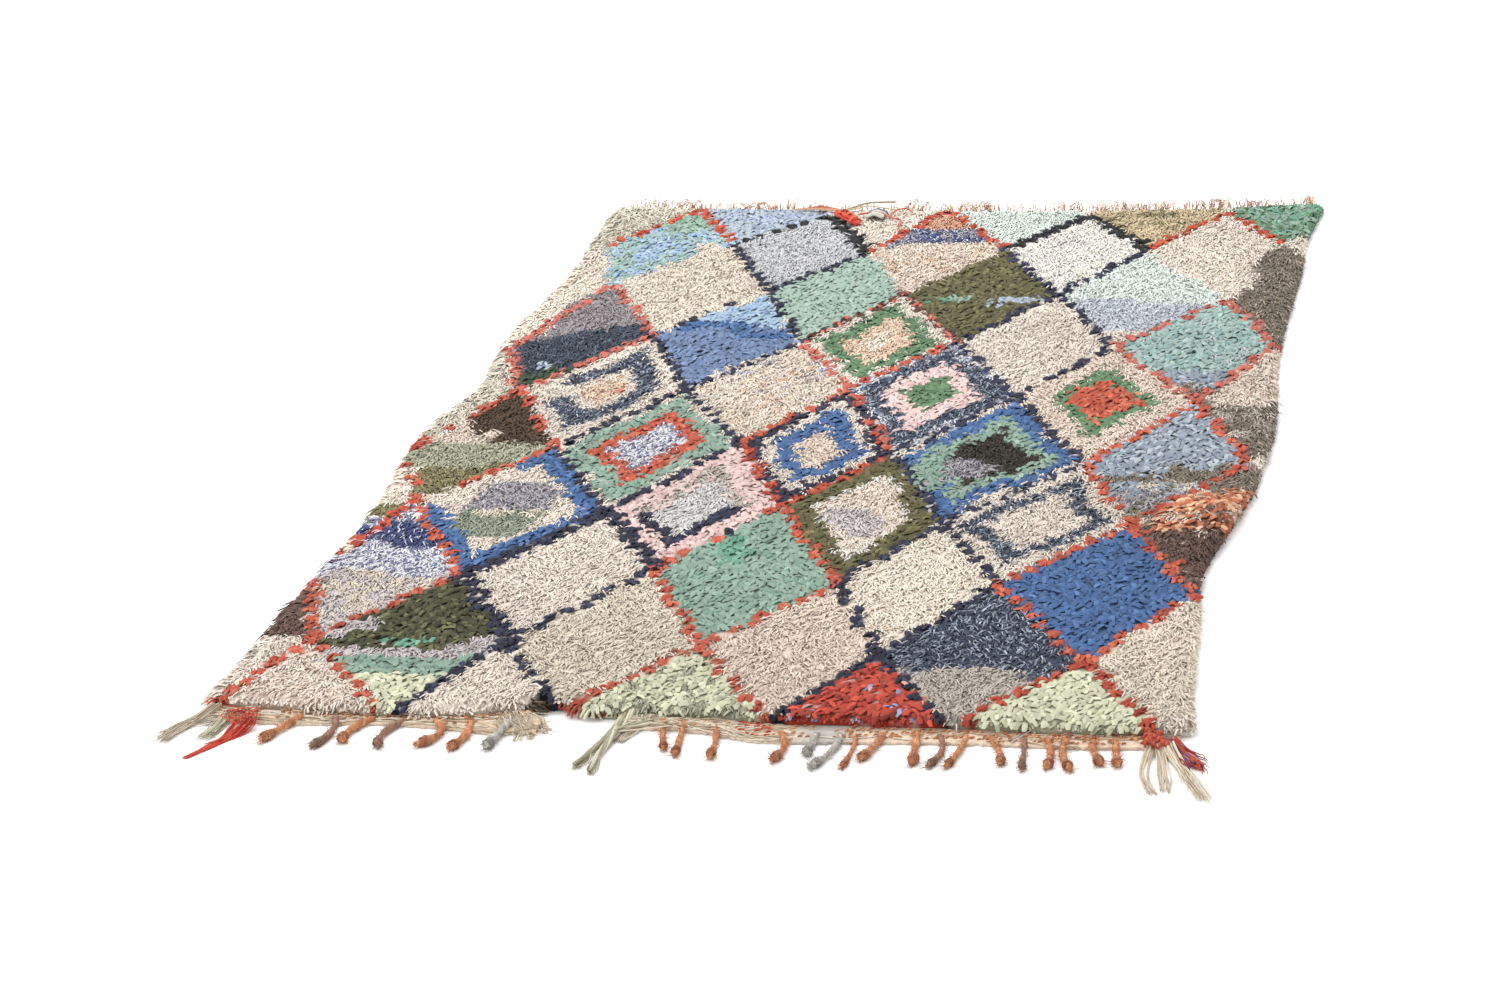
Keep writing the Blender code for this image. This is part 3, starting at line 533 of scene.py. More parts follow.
# Tufts: size, how they lean and stray, and how they reach further or hang at the pile's edges
woolSize = {
    "mottle": 1.1, "width": 0.0028, "length": 0.017, "rootTilt": 0.82, "tipTilt": -0.46, "spread": 0.48, "roll": 0.1,
    "twist": 0.16, "tilt": 0.06, "tide": 0.6, "outwards": 0.35, "droop": 0.5, "proud": 0.0,
    "longerLeft": 0, "shorterRight": 0, "shorterFront": 0,
}
ragSize = {
    **woolSize, "mottle": 0.9, "width": 0.0072, "length": 0.018, "rootTilt": 0.78, "spread": 0.42, "twist": 0.14,
    "tide": 0.55,
}
beadSize = {
    **woolSize, "mottle": 0.7, "width": 0.007, "length": 0.016, "rootTilt": 0.75, "tipTilt": -0.5, "spread": 0.35,
    "roll": 0.18, "twist": 0.18, "tilt": 0.1, "tide": 0.2, "outwards": 0.3, "droop": 0.4, "proud": 0.001,
}
rimSize = {
    **woolSize, "mottle": 0.8, "width": 0.0046, "length": 0.014, "rootTilt": 0.45, "tipTilt": -0.45, "spread": 0.35,
    "roll": 0.2, "twist": 0.2, "tilt": 0.14, "tide": 0.1, "outwards": 3.0, "droop": 0.55,
    "longerLeft": 1.0, "shorterRight": 0.7, "shorterFront": 0.45, "seed": 5, "perPlace": 13, "inset": 0.005,
    "reach": (0.006, 0.0045),
}


def knotTable(x, y, yarn):
    listed = [(*main, *fleck, share, vary, kind == "rag") for main, fleck, share, vary, kind in yarns.values()]
    worn = np.array(listed)[yarn]
    return {
        "x": x, "y": y, "main": worn[:, :3], "fleck": worn[:, 3:6], "share": worn[:, 6], "vary": worn[:, 7],
        "isRag": worn[:, 8] > 0,
    }


# The dark hollow beside the notch, where the pile's edge has lifted off the band; its dark ground and the dark strands
# in it are painted shade
hollow = {
    "middle": (-0.191, -1.093), "reach": (0.02, 0.013), "shade": (0.16, 0.13, 0.1),
    "sink": 0.45,  # its ground stands at this share of the pile's height
    "strands": 30, "thick": 0.0034,
}


def inHollow(x, y):
    middle = np.array(hollow["middle"]) + latticeMiddle
    return np.hypot((x - middle[0]) / hollow["reach"][0], (y - middle[1]) / hollow["reach"][1]) < 1


def onPile(x, y):
    inset = pile["edgeInset"]
    kept = readSurvey("pile", x, y) & readSurvey("pile", x, y - pile["overhang"]) & ~inHollow(x, y)
    return kept & readSurvey("pile", x - inset, y) & readSurvey("pile", x + inset, y)


def pileKnots(tree):
    dice = np.random.default_rng(pile["seed"])
    low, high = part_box("rug_cloth")
    columns = np.arange(low.x, high.x, pile["knotWidth"])
    rows = np.arange(low.y, high.y, pile["knotDepth"])
    x, y = (grid.ravel() for grid in np.meshgrid(columns, rows))
    x = x + pile["knotWidth"] * 0.5 * ((np.round((y - low.y) / pile["knotDepth"]) % 2) - 0.5)
    y = y + rowSway(x, y)
    kept = onPile(x, y)
    x, y = x[kept], y[kept]
    kept = beadOver(tree, x, y) < 0
    x, y = x[kept], y[kept]
    return knotTable(x, y, chartKnots(x - latticeMiddle[0], y - latticeMiddle[1], dice))


# Which way the nearest edge of the pile lies, as a vector: none well inside it
def outwards(x, y, reach=0.016):
    way = np.zeros((len(x), 2))
    for k in range(16):
        turn = k * math.pi / 8
        ray = np.array((math.cos(turn), math.sin(turn)))
        bare = ~readSurvey("pile", x + reach * ray[0], y + reach * ray[1])
        way += bare[:, None] * ray / 6
    return way


def plantTufts(name, knots, chosen, perKnot, size, look, seed, reach):
    dice = np.random.default_rng(seed)
    picked = np.repeat(np.flatnonzero(chosen), perKnot)
    count = len(picked)
    x = knots["x"][picked] + dice.uniform(-1, 1, count) * reach[0]
    y = knots["y"][picked] + dice.uniform(-1, 1, count) * reach[1]
    root = np.column_stack((x, y, riseAt(x, y) + bedHeight(x, y) - pile["sunk"] + size["proud"]))
    # Neighbouring tufts lie over together in soft tides
    tide = size["tide"] * np.sin(23 * x + 9 * y) * np.sin(19 * y - 8 * x + 1.3)
    way = outwards(x, y)
    pull = np.column_stack((np.sin(tide), -np.cos(tide))) + size["outwards"] * way
    heading = np.arctan2(pull[:, 1], pull[:, 0]) + dice.normal(0, size["spread"], count)
    droop = size["droop"] * np.minimum(np.linalg.norm(way, axis=1), 1)
    flecked = dice.random(count) < knots["share"][picked]
    colour = np.where(flecked[:, None], knots["fleck"][picked], knots["main"][picked])
    knotValue = dice.normal(0, 1, len(knots["x"]))[picked] * knots["vary"][picked] * 0.6
    value = 1 + dice.normal(0, size["mottle"], count) * knots["vary"][picked] + knotValue + 0.03 * np.sin(8 * y + 3 * x)
    colour = linear(np.clip(colour * value[:, None], 0.02, 0.98))
    hang = 1 + size["longerLeft"] * (way[:, 0] < -0.3) - size["shorterRight"] * (way[:, 0] > 0.3)
    hang -= size["shorterFront"] * ((way[:, 1] < -0.3) & (np.abs(way[:, 0]) < 0.3))
    shapes = {
        "width": size["width"] * dice.uniform(0.75, 1.25, count),
        "length": size["length"] * dice.uniform(0.75, 1.2, count) * hang,
        "rootTilt": size["rootTilt"] + dice.normal(0, size["tilt"], count),
        "tipTilt": size["tipTilt"] + dice.normal(0, size["tilt"], count) - droop,
        "swerve": dice.normal(0, 0.45, count),
        "roll": dice.normal(0, size["roll"], count),
        "twist": dice.normal(0, size["twist"], count),
        "colour": colour,
        "mark": dice.random(count),
    }
    return tuftMesh(name, root, heading, shapes, look)


# Wool, rag and cord finishes: fibres run along each strand, on the places that the mesh carries
def yarnMaterial(name, finish):
    material = bpy.data.materials.new(name)
    material.use_nodes = True
    nodes, links = material.node_tree.nodes, material.node_tree.links

    def add(kind, inputs, **settings):
        node = nodes.new(kind) if kind else nodes["Principled BSDF"]
        for setting, value in settings.items():
            setattr(node, setting, value)
        for socket, value in inputs.items():
            if isinstance(value, bpy.types.NodeSocket):
                links.new(value, node.inputs[socket])
            else:
                node.inputs[socket].default_value = value
        return node.outputs

    strand = add("ShaderNodeAttribute", {}, attribute_name="strand")["Vector"]
    stretch = add("ShaderNodeVectorMath", {0: strand, 1: finish["fibres"]}, operation="MULTIPLY")["Vector"]
    fibres = add("ShaderNodeTexNoise", {"Vector": stretch, "Scale": 1.0, "Detail": 3.0})["Fac"]
    streak = {"Value": fibres, "To Min": 1 - finish["streak"], "To Max": 1 + finish["streak"]}
    light = add("ShaderNodeMapRange", streak)["Result"]
    colour = add("ShaderNodeAttribute", {}, attribute_name="yarnColour")["Color"]
    shaded = add("ShaderNodeVectorMath", {0: colour, "Scale": light}, operation="SCALE")["Vector"]
    bump = add("ShaderNodeBump", {"Strength": finish["bump"], "Distance": 0.0008, "Height": fibres})["Normal"]
    add(None, {
        "Base Color": shaded, "Normal": bump, "Roughness": finish["roughness"], "Sheen Weight": finish["sheen"],
        "Sheen Roughness": 0.6, "Specular IOR Level": finish["gloss"],
    })
    return material


finishes = {
    "wool": {"roughness": 0.95, "sheen": 0.06, "gloss": 0.15, "fibres": (2400, 130, 90), "streak": 0.18, "bump": 0.5},
    "rag": {"roughness": 0.85, "sheen": 0.03, "gloss": 0.2, "fibres": (900, 120, 90), "streak": 0.16, "bump": 0.5},
    "cord": {"roughness": 0.92, "sheen": 0.06, "gloss": 0.15, "fibres": (1800, 220, 60), "streak": 0.22, "bump": 0.6},
    "weave": {"roughness": 0.95, "sheen": 0.04, "gloss": 0.15, "fibres": (700, 260, 40), "streak": 0.2, "bump": 0.8},
    "band": {"roughness": 0.92, "sheen": 0.04, "gloss": 0.15, "fibres": (420, 1500, 40), "streak": 0.2, "bump": 1.0},
}


materials = {name: yarnMaterial(name + "Yarn", finish) for name, finish in finishes.items()}


def finishPiece(piece, finish):
    piece.data.materials.append(materials[finish])
    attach(piece, "root")
    return piece


# A last row of tufts all along the pile's edge, which hang over it
def rimKnots(rim, chains, tree):
    way = unit(outwards(rim[:, 0], rim[:, 1]), 1e-6)
    x, y = (rim - way * rimSize["inset"]).T
    within = rim - way * 3 * rimSize["inset"] - latticeMiddle
    yarn = chartKnots(within[:, 0], within[:, 1], np.random.default_rng(rimSize["seed"]))
    bead = beadOver(tree, x, y)
    return knotTable(x, y, np.where(bead >= 0, chains[bead, 2].astype(int), yarn))


def makePile(chains, tree, rim):
    knots = pileKnots(tree)
    rim = rim[~inHollow(rim[:, 0], rim[:, 1])]
    light = knots["main"].mean(1)
    wool = ~knots["isRag"]
    cool = knots["main"][:, 2] > knots["main"][:, 0] - 0.02
    between = (pile["knotWidth"] * 0.58, pile["knotDepth"] * 0.5)
    inBead = (beads["spreadAcross"], beads["spreadAlong"])
    shown = chains[onPile(chains[:, 0], chains[:, 1])]
    beadKnots = knotTable(shown[:, 0], shown[:, 1], shown[:, 2].astype(int))
    woolTuft = (pile["woolPerKnot"], woolSize, woolLook, "wool", between)
    ragTuft = (pile["ragPerKnot"], ragSize, ragLook, "rag", between)
    beadTuft = (beads["tufts"], beadSize, ragLook, "rag", inBead)
    rimTuft = (rimSize["perPlace"], rimSize, woolLook, "wool", rimSize["reach"])
    groups = {
        "creamWoolPile": (knots, wool & (light > pile["cream"]), woolTuft),
        "beigeWoolPile": (knots, wool & (light <= pile["cream"]) & (light > pile["beige"]), woolTuft),
        "darkWoolPile": (knots, wool & (light <= pile["beige"]), woolTuft),
        "blueRagPile": (knots, knots["isRag"] & cool, ragTuft),
        "warmRagPile": (knots, knots["isRag"] & ~cool, ragTuft),
        "borderKnots": (beadKnots, np.ones(len(shown), bool), beadTuft),
        "rimPile": (rimKnots(rim, chains, tree), np.ones(len(rim), bool), rimTuft),
    }
    pieces = []
    for k, (name, (table, chosen, (perKnot, size, look, finish, reach))) in enumerate(groups.items()):
        piece = plantTufts(name, table, chosen, perKnot, size, look, pile["seed"] + k, reach)
        pieces.append(finishPiece(piece, finish))
        print("pile:", name, len(piece.data.polygons) * 2, "triangles")
    return pieces


ground = {"seed": 3, "step": 0.0117, "bottom": 0.0006, "paintedShade": 0.96}


# A closed sheet: a top, the same face underneath, and walls along the rim from each start to the place after it
def closedSheet(name, upper, lower, face, start, after, colour, finish):
    count = len(upper)
    walls = np.column_stack((after, start, start + count, after + count))
    quads = np.concatenate((face, face[:, ::-1] + count, walls))
    places = np.concatenate((upper, lower))
    strand = np.column_stack((places[:, 0], places[:, 1], np.zeros(len(places))))
    piece = meshOf(name, places, quads, np.tile(colour, (2, 1)), strand, bakePlan(places))
    return finishPiece(piece, finish)


# Moves places near the pile's edge out to it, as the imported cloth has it
def toOutline(x, y):
    way = unit(outwards(x, y), 1e-6)
    moved = []
    for foot, ray in zip(np.column_stack((x, y)), way):
        near, far = 0.0, 1.5 * ground["step"]
        for _ in range(6):
            middle = (near + far) / 2
            if probeCloth(*(foot + ray * middle))[1] > survey["pileTop"]:
                near = middle
            else:
                far = middle
        moved.append(foot + ray * near)
    return np.array(moved).T


# The cloth's body: the ground weave and the dense feet of the pile, tinted by the knots that it holds
def makeGround(chains, tree):
    low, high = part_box("rug_cloth")
    xs = np.arange(low.x, high.x + ground["step"], ground["step"])
    ys = np.arange(low.y, high.y + ground["step"], ground["step"])
    x, y = np.meshgrid(xs, ys)
    worn = readSurvey("pile", x, y)
    cells = worn[:-1, :-1] & worn[1:, :-1] & worn[:-1, 1:] & worn[1:, 1:]
    number = np.arange(x.size).reshape(x.shape)
    r, c = np.nonzero(cells)
    top = np.stack((number[r, c], number[r, c + 1], number[r + 1, c + 1], number[r + 1, c]), 1)
    used = np.unique(top)
    place = np.full(x.size, -1)
    place[used] = np.arange(len(used))
    top = place[top]
    flatX, flatY = x.ravel()[used], y.ravel()[used]
    dice = np.random.default_rng(ground["seed"])
    ends = np.concatenate([top[:, [k, (k + 1) % 4]] for k in range(4)])
    key = ends[:, 0] * len(used) + ends[:, 1]
    back = ends[:, 1] * len(used) + ends[:, 0]
    rim = ends[~np.isin(key, back)]
    edge = np.unique(rim)
    flatX[edge], flatY[edge] = toOutline(flatX[edge], flatY[edge])
    rise = riseAt(flatX, flatY)
    sink = np.where(inHollow(flatX, flatY), hollow["sink"], 1.0)
    upper = np.column_stack((flatX, flatY, rise + bedHeight(flatX, flatY) * sink))
    lower = np.column_stack((flatX, flatY, rise + ground["bottom"]))
    yarn = chartKnots(flatX - latticeMiddle[0], flatY - latticeMiddle[1], dice)
    bead = beadOver(tree, flatX, flatY)
    yarn = np.where(bead >= 0, chains[bead, 2].astype(int), yarn)
    main = knotTable(flatX, flatY, yarn)["main"]
    # Painted shade: the ground in the hollow takes the hollow's dark shade colour
    main[inHollow(flatX, flatY)] = hollow["shade"]
    # Painted shade: the pile's feet are darkened a little, as if in shade under the tufts
    colour = linear(main) * ground["paintedShade"]
    piece = closedSheet("groundWeave", upper, lower, top, rim[:, 0], rim[:, 1], colour, "weave")
    print("ground weave:", len(piece.data.polygons) * 2, "triangles")
    return piece, upper[edge, :2]


# Where the flat weave ends or meets the pile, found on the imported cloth
def weaveLimit(x, inside, outside):
    for _ in range(7):
        middle = (inside + outside) / 2
        if 0 < probeCloth(x, middle)[1] < survey["pileTop"]:
            inside = middle
        else:
            outside = middle
    return inside


# The flat-woven ends. The middle line is (x, y), from the lattice's middle. A patch is its x, reach and colour.
bands = {
    "nearLeftWeave": {
        "middle": ((-0.684, -1.138), (-0.168, -1.14)), "out": -1, "ridges": 2.6, "ridgeHeight": 0.0014, "seed": 31,
        "ruffles": ((-0.56, -0.684, 0.0022), (-0.2, -0.168, 0.005)),
        "colour": (0.93, 0.85, 0.76), "line": (0.83, 0.73, 0.62),
    },
    "nearRightWeave": {
        "middle": ((-0.022, -1.136), (0.732, -1.126)), "out": -1, "ridges": 2.2, "ridgeHeight": 0.0009, "seed": 32,
        "ruffles": ((0.19, -0.022, 0.0056), (0.66, 0.732, 0.0025)),
        "colour": (0.94, 0.86, 0.77), "line": (0.94, 0.84, 0.74), "patch": (0.246, 0.05, (0.78, 0.76, 0.73)),
    },
    "farWeave": {
        "middle": (
            (-0.7, 1.187), (-0.53, 1.173), (-0.32, 1.167), (-0.12, 1.162),
            (0.08, 1.157), (0.28, 1.161), (0.47, 1.172), (0.706, 1.2),
        ),
        "out": 1, "ridges": 1.5, "ridgeHeight": 0.0007, "seed": 33,
        "ruffles": (), "colour": (0.9, 0.82, 0.71), "line": (0.78, 0.62, 0.48),
    },
}
bandShape = {"step": 0.0033, "rows": 16, "under": 0.014, "base": 0.003, "bottom": 0.0004, "rib": 0.0005, "ribRows": 9}


# Height of a band's top above the floor: ribs across it, long ridges and the ruffled stretches
def bandTop(band, x, share):
    height = bandShape["base"] + bandShape["rib"] * np.sin(2 * math.pi * bandShape["ribRows"] * share)
    ripple = np.sin(2 * math.pi * (band["ridges"] * share + 0.22 * np.sin(21 * x + 1) + 0.1 * np.sin(57 * x)))
    height = height + band["ridgeHeight"] * (1 + ripple) * (0.7 + 0.3 * np.sin(33 * x))
    for start, end, rise in band["ruffles"]:
        worn = np.clip((x - start) / (end - start) * 3, 0, 1)
        fold = np.sin(2 * math.pi * (1.6 * share + 0.35 * np.sin(38 * x + 2) + 0.14 * np.sin(83 * x)))
        height = height + rise * worn * (0.55 + 0.45 * fold) * np.sin(math.pi * np.clip(share * 0.85 + 0.12, 0, 1))
    return height


def measureBand(band):
    middle = np.array(band["middle"]) + latticeMiddle
    xs = np.arange(middle[0, 0], middle[-1, 0], bandShape["step"])
    ys = np.interp(xs, middle[:, 0], middle[:, 1])
    outer = np.array([weaveLimit(x, y, y + band["out"] * 0.06) for x, y in zip(xs, ys)])
    inner = np.array([weaveLimit(x, y, y - band["out"] * 0.06) for x, y in zip(xs, ys)])
    band.update(xs=xs, outer=outer, inner=inner)


# A place on a band: share runs from 0 at its free edge to 1 at the pile
def onBand(band, x, share):
    y = np.interp(x, band["xs"], band["outer"]) * (1 - share) + np.interp(x, band["xs"], band["inner"]) * share
    x, share, y = np.broadcast_arrays(x, share, y)
    return np.stack((x, y, riseAt(x, y) + bandTop(band, x - latticeMiddle[0], share)), -1)


def makeBand(name, band):
    dice = np.random.default_rng(band["seed"])
    reach = bandShape["under"] / np.maximum(np.abs(band["inner"] - band["outer"]), 0.01)
    share = np.linspace(0, 1, bandShape["rows"])[:, None] * (1 + reach)[None]
    y = band["outer"] + (band["inner"] - band["outer"]) * share
    x = np.broadcast_to(band["xs"], y.shape)
    fray = 0.0012 * dice.normal(0, 1, x.shape) * (share < 0.02)
    top = bandTop(band, x - latticeMiddle[0], np.minimum(share, 1))
    rise = riseAt(x, y)
    upper = np.stack((x, y + fray, rise + np.where(share > 1, np.minimum(top, 0.0045), top)), 2).reshape(-1, 3)
    lower = np.stack((x, y + fray, rise + bandShape["bottom"]), 2).reshape(-1, 3)
    number = np.arange(len(upper)).reshape(x.shape)
    face = gridQuads(number)
    face = face if band["out"] < 0 else face[:, ::-1]
    ring = np.concatenate((number[0, :-1], number[:-1, -1], number[-1, :0:-1], number[:0:-1, 0]))
    ring = ring if band["out"] < 0 else ring[::-1]
    stripe = 0.5 + 0.5 * np.sin(2 * math.pi * bandShape["ribRows"] * share + 1.2)
    mixed = np.array(band["line"]) + stripe[..., None] * (np.array(band["colour"]) - np.array(band["line"]))
    if "patch" in band:
        middle, reach, shade = band["patch"]
        patch = np.clip(1 - np.abs((x - latticeMiddle[0] - middle) / reach), 0, 1) ** 0.3
        mixed = mixed + patch[..., None] * (np.array(shade) - mixed)
    mixed = mixed * (1 + dice.normal(0, 0.035, x.shape))[..., None]
    # Painted shade: the band is darker where it runs under the pile
    mixed = np.where(share[..., None] > 0.98, mixed * 0.8, mixed)  # darker where it runs under the pile
    colour = linear(np.clip(mixed, 0, 0.98)).reshape(-1, 3)
    return closedSheet(name, upper, lower, face, ring, np.roll(ring, -1), colour, "band")


# One piece of joined strands, each a closed tube: its path, width and colour, and its depth if it is flatter
def strandPiece(name, strands, sides=6, finish="cord"):
    places, colours, marks, quads = [], [], [], []
    first = 0
    turn = 2 * math.pi * np.arange(sides) / sides
    caps = np.array([(0, k, k + 1, k + 2) for k in range(1, sides - 2, 2)])
    for path, wide, colour, *deep in strands:
        path = np.asarray(path, float)
        count = len(path)
        wide, deep = (np.broadcast_to(v, count)[:, None, None] / 2 for v in (wide, deep[0] if deep else wide))
        ahead = unit(np.gradient(path, axis=0))
        side = np.cross(ahead, (0.0, 0.0, 1.0))
        long = np.linalg.norm(side, axis=1, keepdims=True)
        side = np.where(long > 0.15, side / (long + 1e-9), (1.0, 0.0, 0.0))
        for k in range(1, count):
            if side[k] @ side[k - 1] < 0:
                side[k] = -side[k]
        up = np.cross(side, ahead)
        ring = path[:, None] + side[:, None] * np.cos(turn)[None, :, None] * wide
        ring = ring + up[:, None] * np.sin(turn)[None, :, None] * deep
        ring[..., 2] = np.maximum(ring[..., 2], 0.0003)
        number = first + np.arange(count * sides).reshape(count, sides)
        after = np.roll(number, -1, axis=1)
        quads.append(np.stack((number[:-1], number[1:], after[1:], after[:-1]), -1).reshape(-1, 4))
        quads += [number[0][caps], number[-1][caps[:, ::-1]]]
        mark = np.empty((count, sides, 3))
        mark[..., 0] = turn / (2 * math.pi) * 0.01
        mark[..., 1] = np.concatenate(((0,), np.cumsum(np.linalg.norm(np.diff(path, axis=0), axis=1))))[:, None]
        mark[..., 2] = (first * 0.618) % 1
        places.append(ring.reshape(-1, 3))
        marks.append(mark.reshape(-1, 3))
        colours.append(np.repeat(np.broadcast_to(np.asarray(colour, float), (count, 3)), sides, axis=0))
        first += count * sides
    places = np.concatenate(places)
    colour = linear(np.clip(np.concatenate(colours), 0.02, 0.98))
    piece = meshOf(name, places, np.concatenate(quads), colour, np.concatenate(marks), bakePlan(places))
    print("strands:", name, len(piece.data.polygons) * 2, "triangles")
    return finishPiece(piece, finish)


# A bowed line from start to end, lying on the floor after its first stretch
def bowedPath(start, end, belly, count, lie, settle=0.35):
    t = np.linspace(0, 1, count)[:, None]
    start, end = np.asarray(start, float), np.asarray(end, float)
    middle = (start + end) / 2 + np.array((belly * 2, 0, 0))
    path = (1 - t) ** 2 * start + 2 * t * (1 - t) * middle + t**2 * end
    fall = np.clip(1 - t[:, 0] / settle, 0, 1) ** 1.5
    path[:, 2] = lie + fall * max(start[2] - lie, 0)
    return path


def frames(path):
    ahead = unit(np.gradient(path, axis=0))
    side = unit(np.cross(ahead, (0.0, 0.0, 1.0)))
    return side, np.cross(side, ahead)


# A strand's path that winds about another
def coil(path, side, up, phase, reach, flat=1.0):
    return path + side * (np.cos(phase) * reach)[:, None] + up * (np.sin(phase) * reach * flat)[:, None]


# Four tones of each yarn that fringes, stitches, cords and rags are made of
yarnTones = {
    "orange": ((0.8, 0.55, 0.4), (0.72, 0.45, 0.32), (0.86, 0.67, 0.5), (0.66, 0.38, 0.27)),
    "brown": ((0.6, 0.47, 0.4), (0.7, 0.53, 0.43), (0.66, 0.42, 0.34), (0.52, 0.44, 0.41)),
    "grey": ((0.76, 0.74, 0.71), (0.66, 0.64, 0.61), (0.81, 0.79, 0.76), (0.6, 0.58, 0.55)),
    "paleGreen": ((0.8, 0.78, 0.67), (0.71, 0.69, 0.58), (0.86, 0.84, 0.75), (0.64, 0.62, 0.52)),
    "cream": ((0.96, 0.89, 0.8), (0.89, 0.81, 0.71), (0.97, 0.93, 0.86), (0.82, 0.74, 0.64)),
    "greyCream": ((0.84, 0.79, 0.71), (0.76, 0.71, 0.62), (0.89, 0.84, 0.77), (0.7, 0.64, 0.56)),
    "red": ((0.8, 0.27, 0.2), (0.86, 0.37, 0.28), (0.7, 0.18, 0.15), (0.83, 0.44, 0.33)),
    "redIndigo": ((0.78, 0.27, 0.22), (0.7, 0.2, 0.18), (0.4, 0.34, 0.5), (0.82, 0.38, 0.28)),
    "coral": ((0.74, 0.33, 0.24), (0.79, 0.41, 0.31), (0.64, 0.25, 0.18), (0.76, 0.36, 0.28)),
    "rust": ((0.82, 0.56, 0.4), (0.68, 0.5, 0.38), (0.88, 0.68, 0.53), (0.62, 0.46, 0.37)),
    "paleOrange": ((0.89, 0.62, 0.43), (0.83, 0.51, 0.34), (0.92, 0.72, 0.56), (0.77, 0.46, 0.32)),
    "indigo": ((0.34, 0.36, 0.5), (0.44, 0.46, 0.6), (0.3, 0.32, 0.44), (0.6, 0.62, 0.7)),
    # umber colours only the dark strands in the hollow beside the notch, which are painted shadow
    "umber": ((0.24, 0.2, 0.15), (0.36, 0.3, 0.24), (0.18, 0.14, 0.11), (0.46, 0.4, 0.33)),
}


def tone(name, dice, pick=None):
    chosen = yarnTones[name][dice.integers(4) if pick is None else pick % 4]
    return np.array(chosen) * (1 + dice.normal(0, 0.05))


twistedEnd = {
    "rootShare": 0.45, "points": 24, "plies": 3, "plyShare": 0.66, "helixShare": 0.22, "pitch": 1.5,
    "fuzz": 60, "fuzzLength": 0.0085, "brush": 26, "brushLength": 0.012, "hair": 0.00065,
    "knotAt": 0.84, "knotReach": 0.085, "knotTurns": 1.6,
}


# One knotted warp end: plies twisted together, a knot near the tip and loose fibres round it
def twistedTassel(start, end, belly, thick, tones, dice):
    count = twistedEnd["points"]
    path = bowedPath(start, end, belly, count, thick * 0.5)
    side, up = frames(path)
    t = np.linspace(0, 1, count)
    knot = np.exp(-(((t - twistedEnd["knotAt"]) / twistedEnd["knotReach"]) ** 2))
    girth = thick * (0.8 + 0.12 * np.sin(11 * t + dice.uniform(0, 6)) + 0.42 * knot - 0.25 * (t > 0.95))
    length = np.linalg.norm(np.diff(path, axis=0), axis=1).sum()
    turns = length / (thick * twistedEnd["pitch"])
    strands = []
    for ply in range(twistedEnd["plies"]):
        phase = 2 * math.pi * (turns * t + ply / twistedEnd["plies"])
        track = coil(path, side, up, phase, girth * twistedEnd["helixShare"])
        ends = (tone(tones, dice, ply) + tone(tones, dice, 0)) / 2
        flecks = np.array([tone(tones, dice) for _ in range(count)])
        colour = (ends * 0.6 + flecks * 0.4) * (1 - 0.2 * knot)[:, None] * (1 + dice.normal(0, 0.07, count))[:, None]
        strands.append((track, girth * twistedEnd["plyShare"], colour))
    wrap = np.linspace(0, 1, 14)
    at = int(twistedEnd["knotAt"] * count)
    centre, across, above = path[at], side[at], up[at]
    along = np.cross(above, across)
    angle = 2 * math.pi * twistedEnd["knotTurns"] * wrap + dice.uniform(0, 6)
    loop = centre + np.outer(np.cos(angle) * thick * 0.52, across) + np.outer(np.sin(angle) * thick * 0.44, above)
    loop = loop + np.outer((wrap - 0.5) * thick * 0.6, along)
    strands.append((loop, thick * 0.34, tone(tones, dice, 3) * 0.88))
    hairs = []
    for k in range(twistedEnd["fuzz"] + twistedEnd["brush"]):
        isBrush = k >= twistedEnd["fuzz"]
        i = int((dice.uniform(0.9, 1.0) if isBrush else dice.uniform(0.02, 0.98)) * (count - 1))
        turn = dice.uniform(0, 2 * math.pi)
        outward = side[i] * math.cos(turn) + up[i] * math.sin(turn)
        onward = np.cross(up[i], side[i]) * (dice.uniform(0.4, 1.3) if isBrush else dice.normal(0, 0.7))
        reach = (twistedEnd["brushLength"] if isBrush else twistedEnd["fuzzLength"]) * dice.uniform(0.5, 1.1)
        spring = unit(outward * (0.5 if isBrush else 0.75) + onward)
        root = path[i] + outward * girth[i] * 0.36
        bend = dice.normal(0, 0.35, 3)
        line = np.array([root, root + spring * reach * 0.5, root + (spring + bend) * reach])
        line[:, 2] = np.maximum(line[:, 2], 0.001)
        hairs.append((line, twistedEnd["hair"] * np.array((1.3, 1.0, 0.5)), tone(tones, dice) * 1.06))
    return strands, hairs


# Loose strands that leave one place together and spread towards their tips
def looseBundle(dice, start, end, belly, count, thin, tones, spread, points=14, wave=0.0015, settle=0.35):
    strands = []
    t = np.linspace(0, 1, points)
    for _ in range(count):
        shift, stack = dice.uniform(-1, 1), dice.random()
        first = np.asarray(start, float) + (shift * spread[0], dice.normal(0, 0.0015), stack * spread[0] * 0.5)
        last = np.asarray(end, float) + (shift * spread[1] + dice.normal(0, 0.002), dice.normal(0, spread[1] * 0.6), 0)
        path = bowedPath(first, last, belly + dice.normal(0, 0.002), points, thin / 2 + stack * spread[1] * 0.3, settle)
        path[:, 0] += wave * np.sin(dice.uniform(5, 12) * t + dice.uniform(0, 6)) * t
        path[:, 2] += np.abs(wave * np.sin(dice.uniform(5, 12) * t + dice.uniform(0, 6))) * t
        width = thin * dice.uniform(0.75, 1.25) * (1 - 0.55 * t**3)
        strands.append((path, width, tone(tones, dice)))
    return strands


def rugPlace(x, y, z):
    return np.array((x + latticeMiddle[0], y + latticeMiddle[1], z))


# The same between two places that are given from the lattice's middle
def rugBundle(dice, start, end, *how, **more):
    return looseBundle(dice, rugPlace(*start), rugPlace(*end), *how, **more)


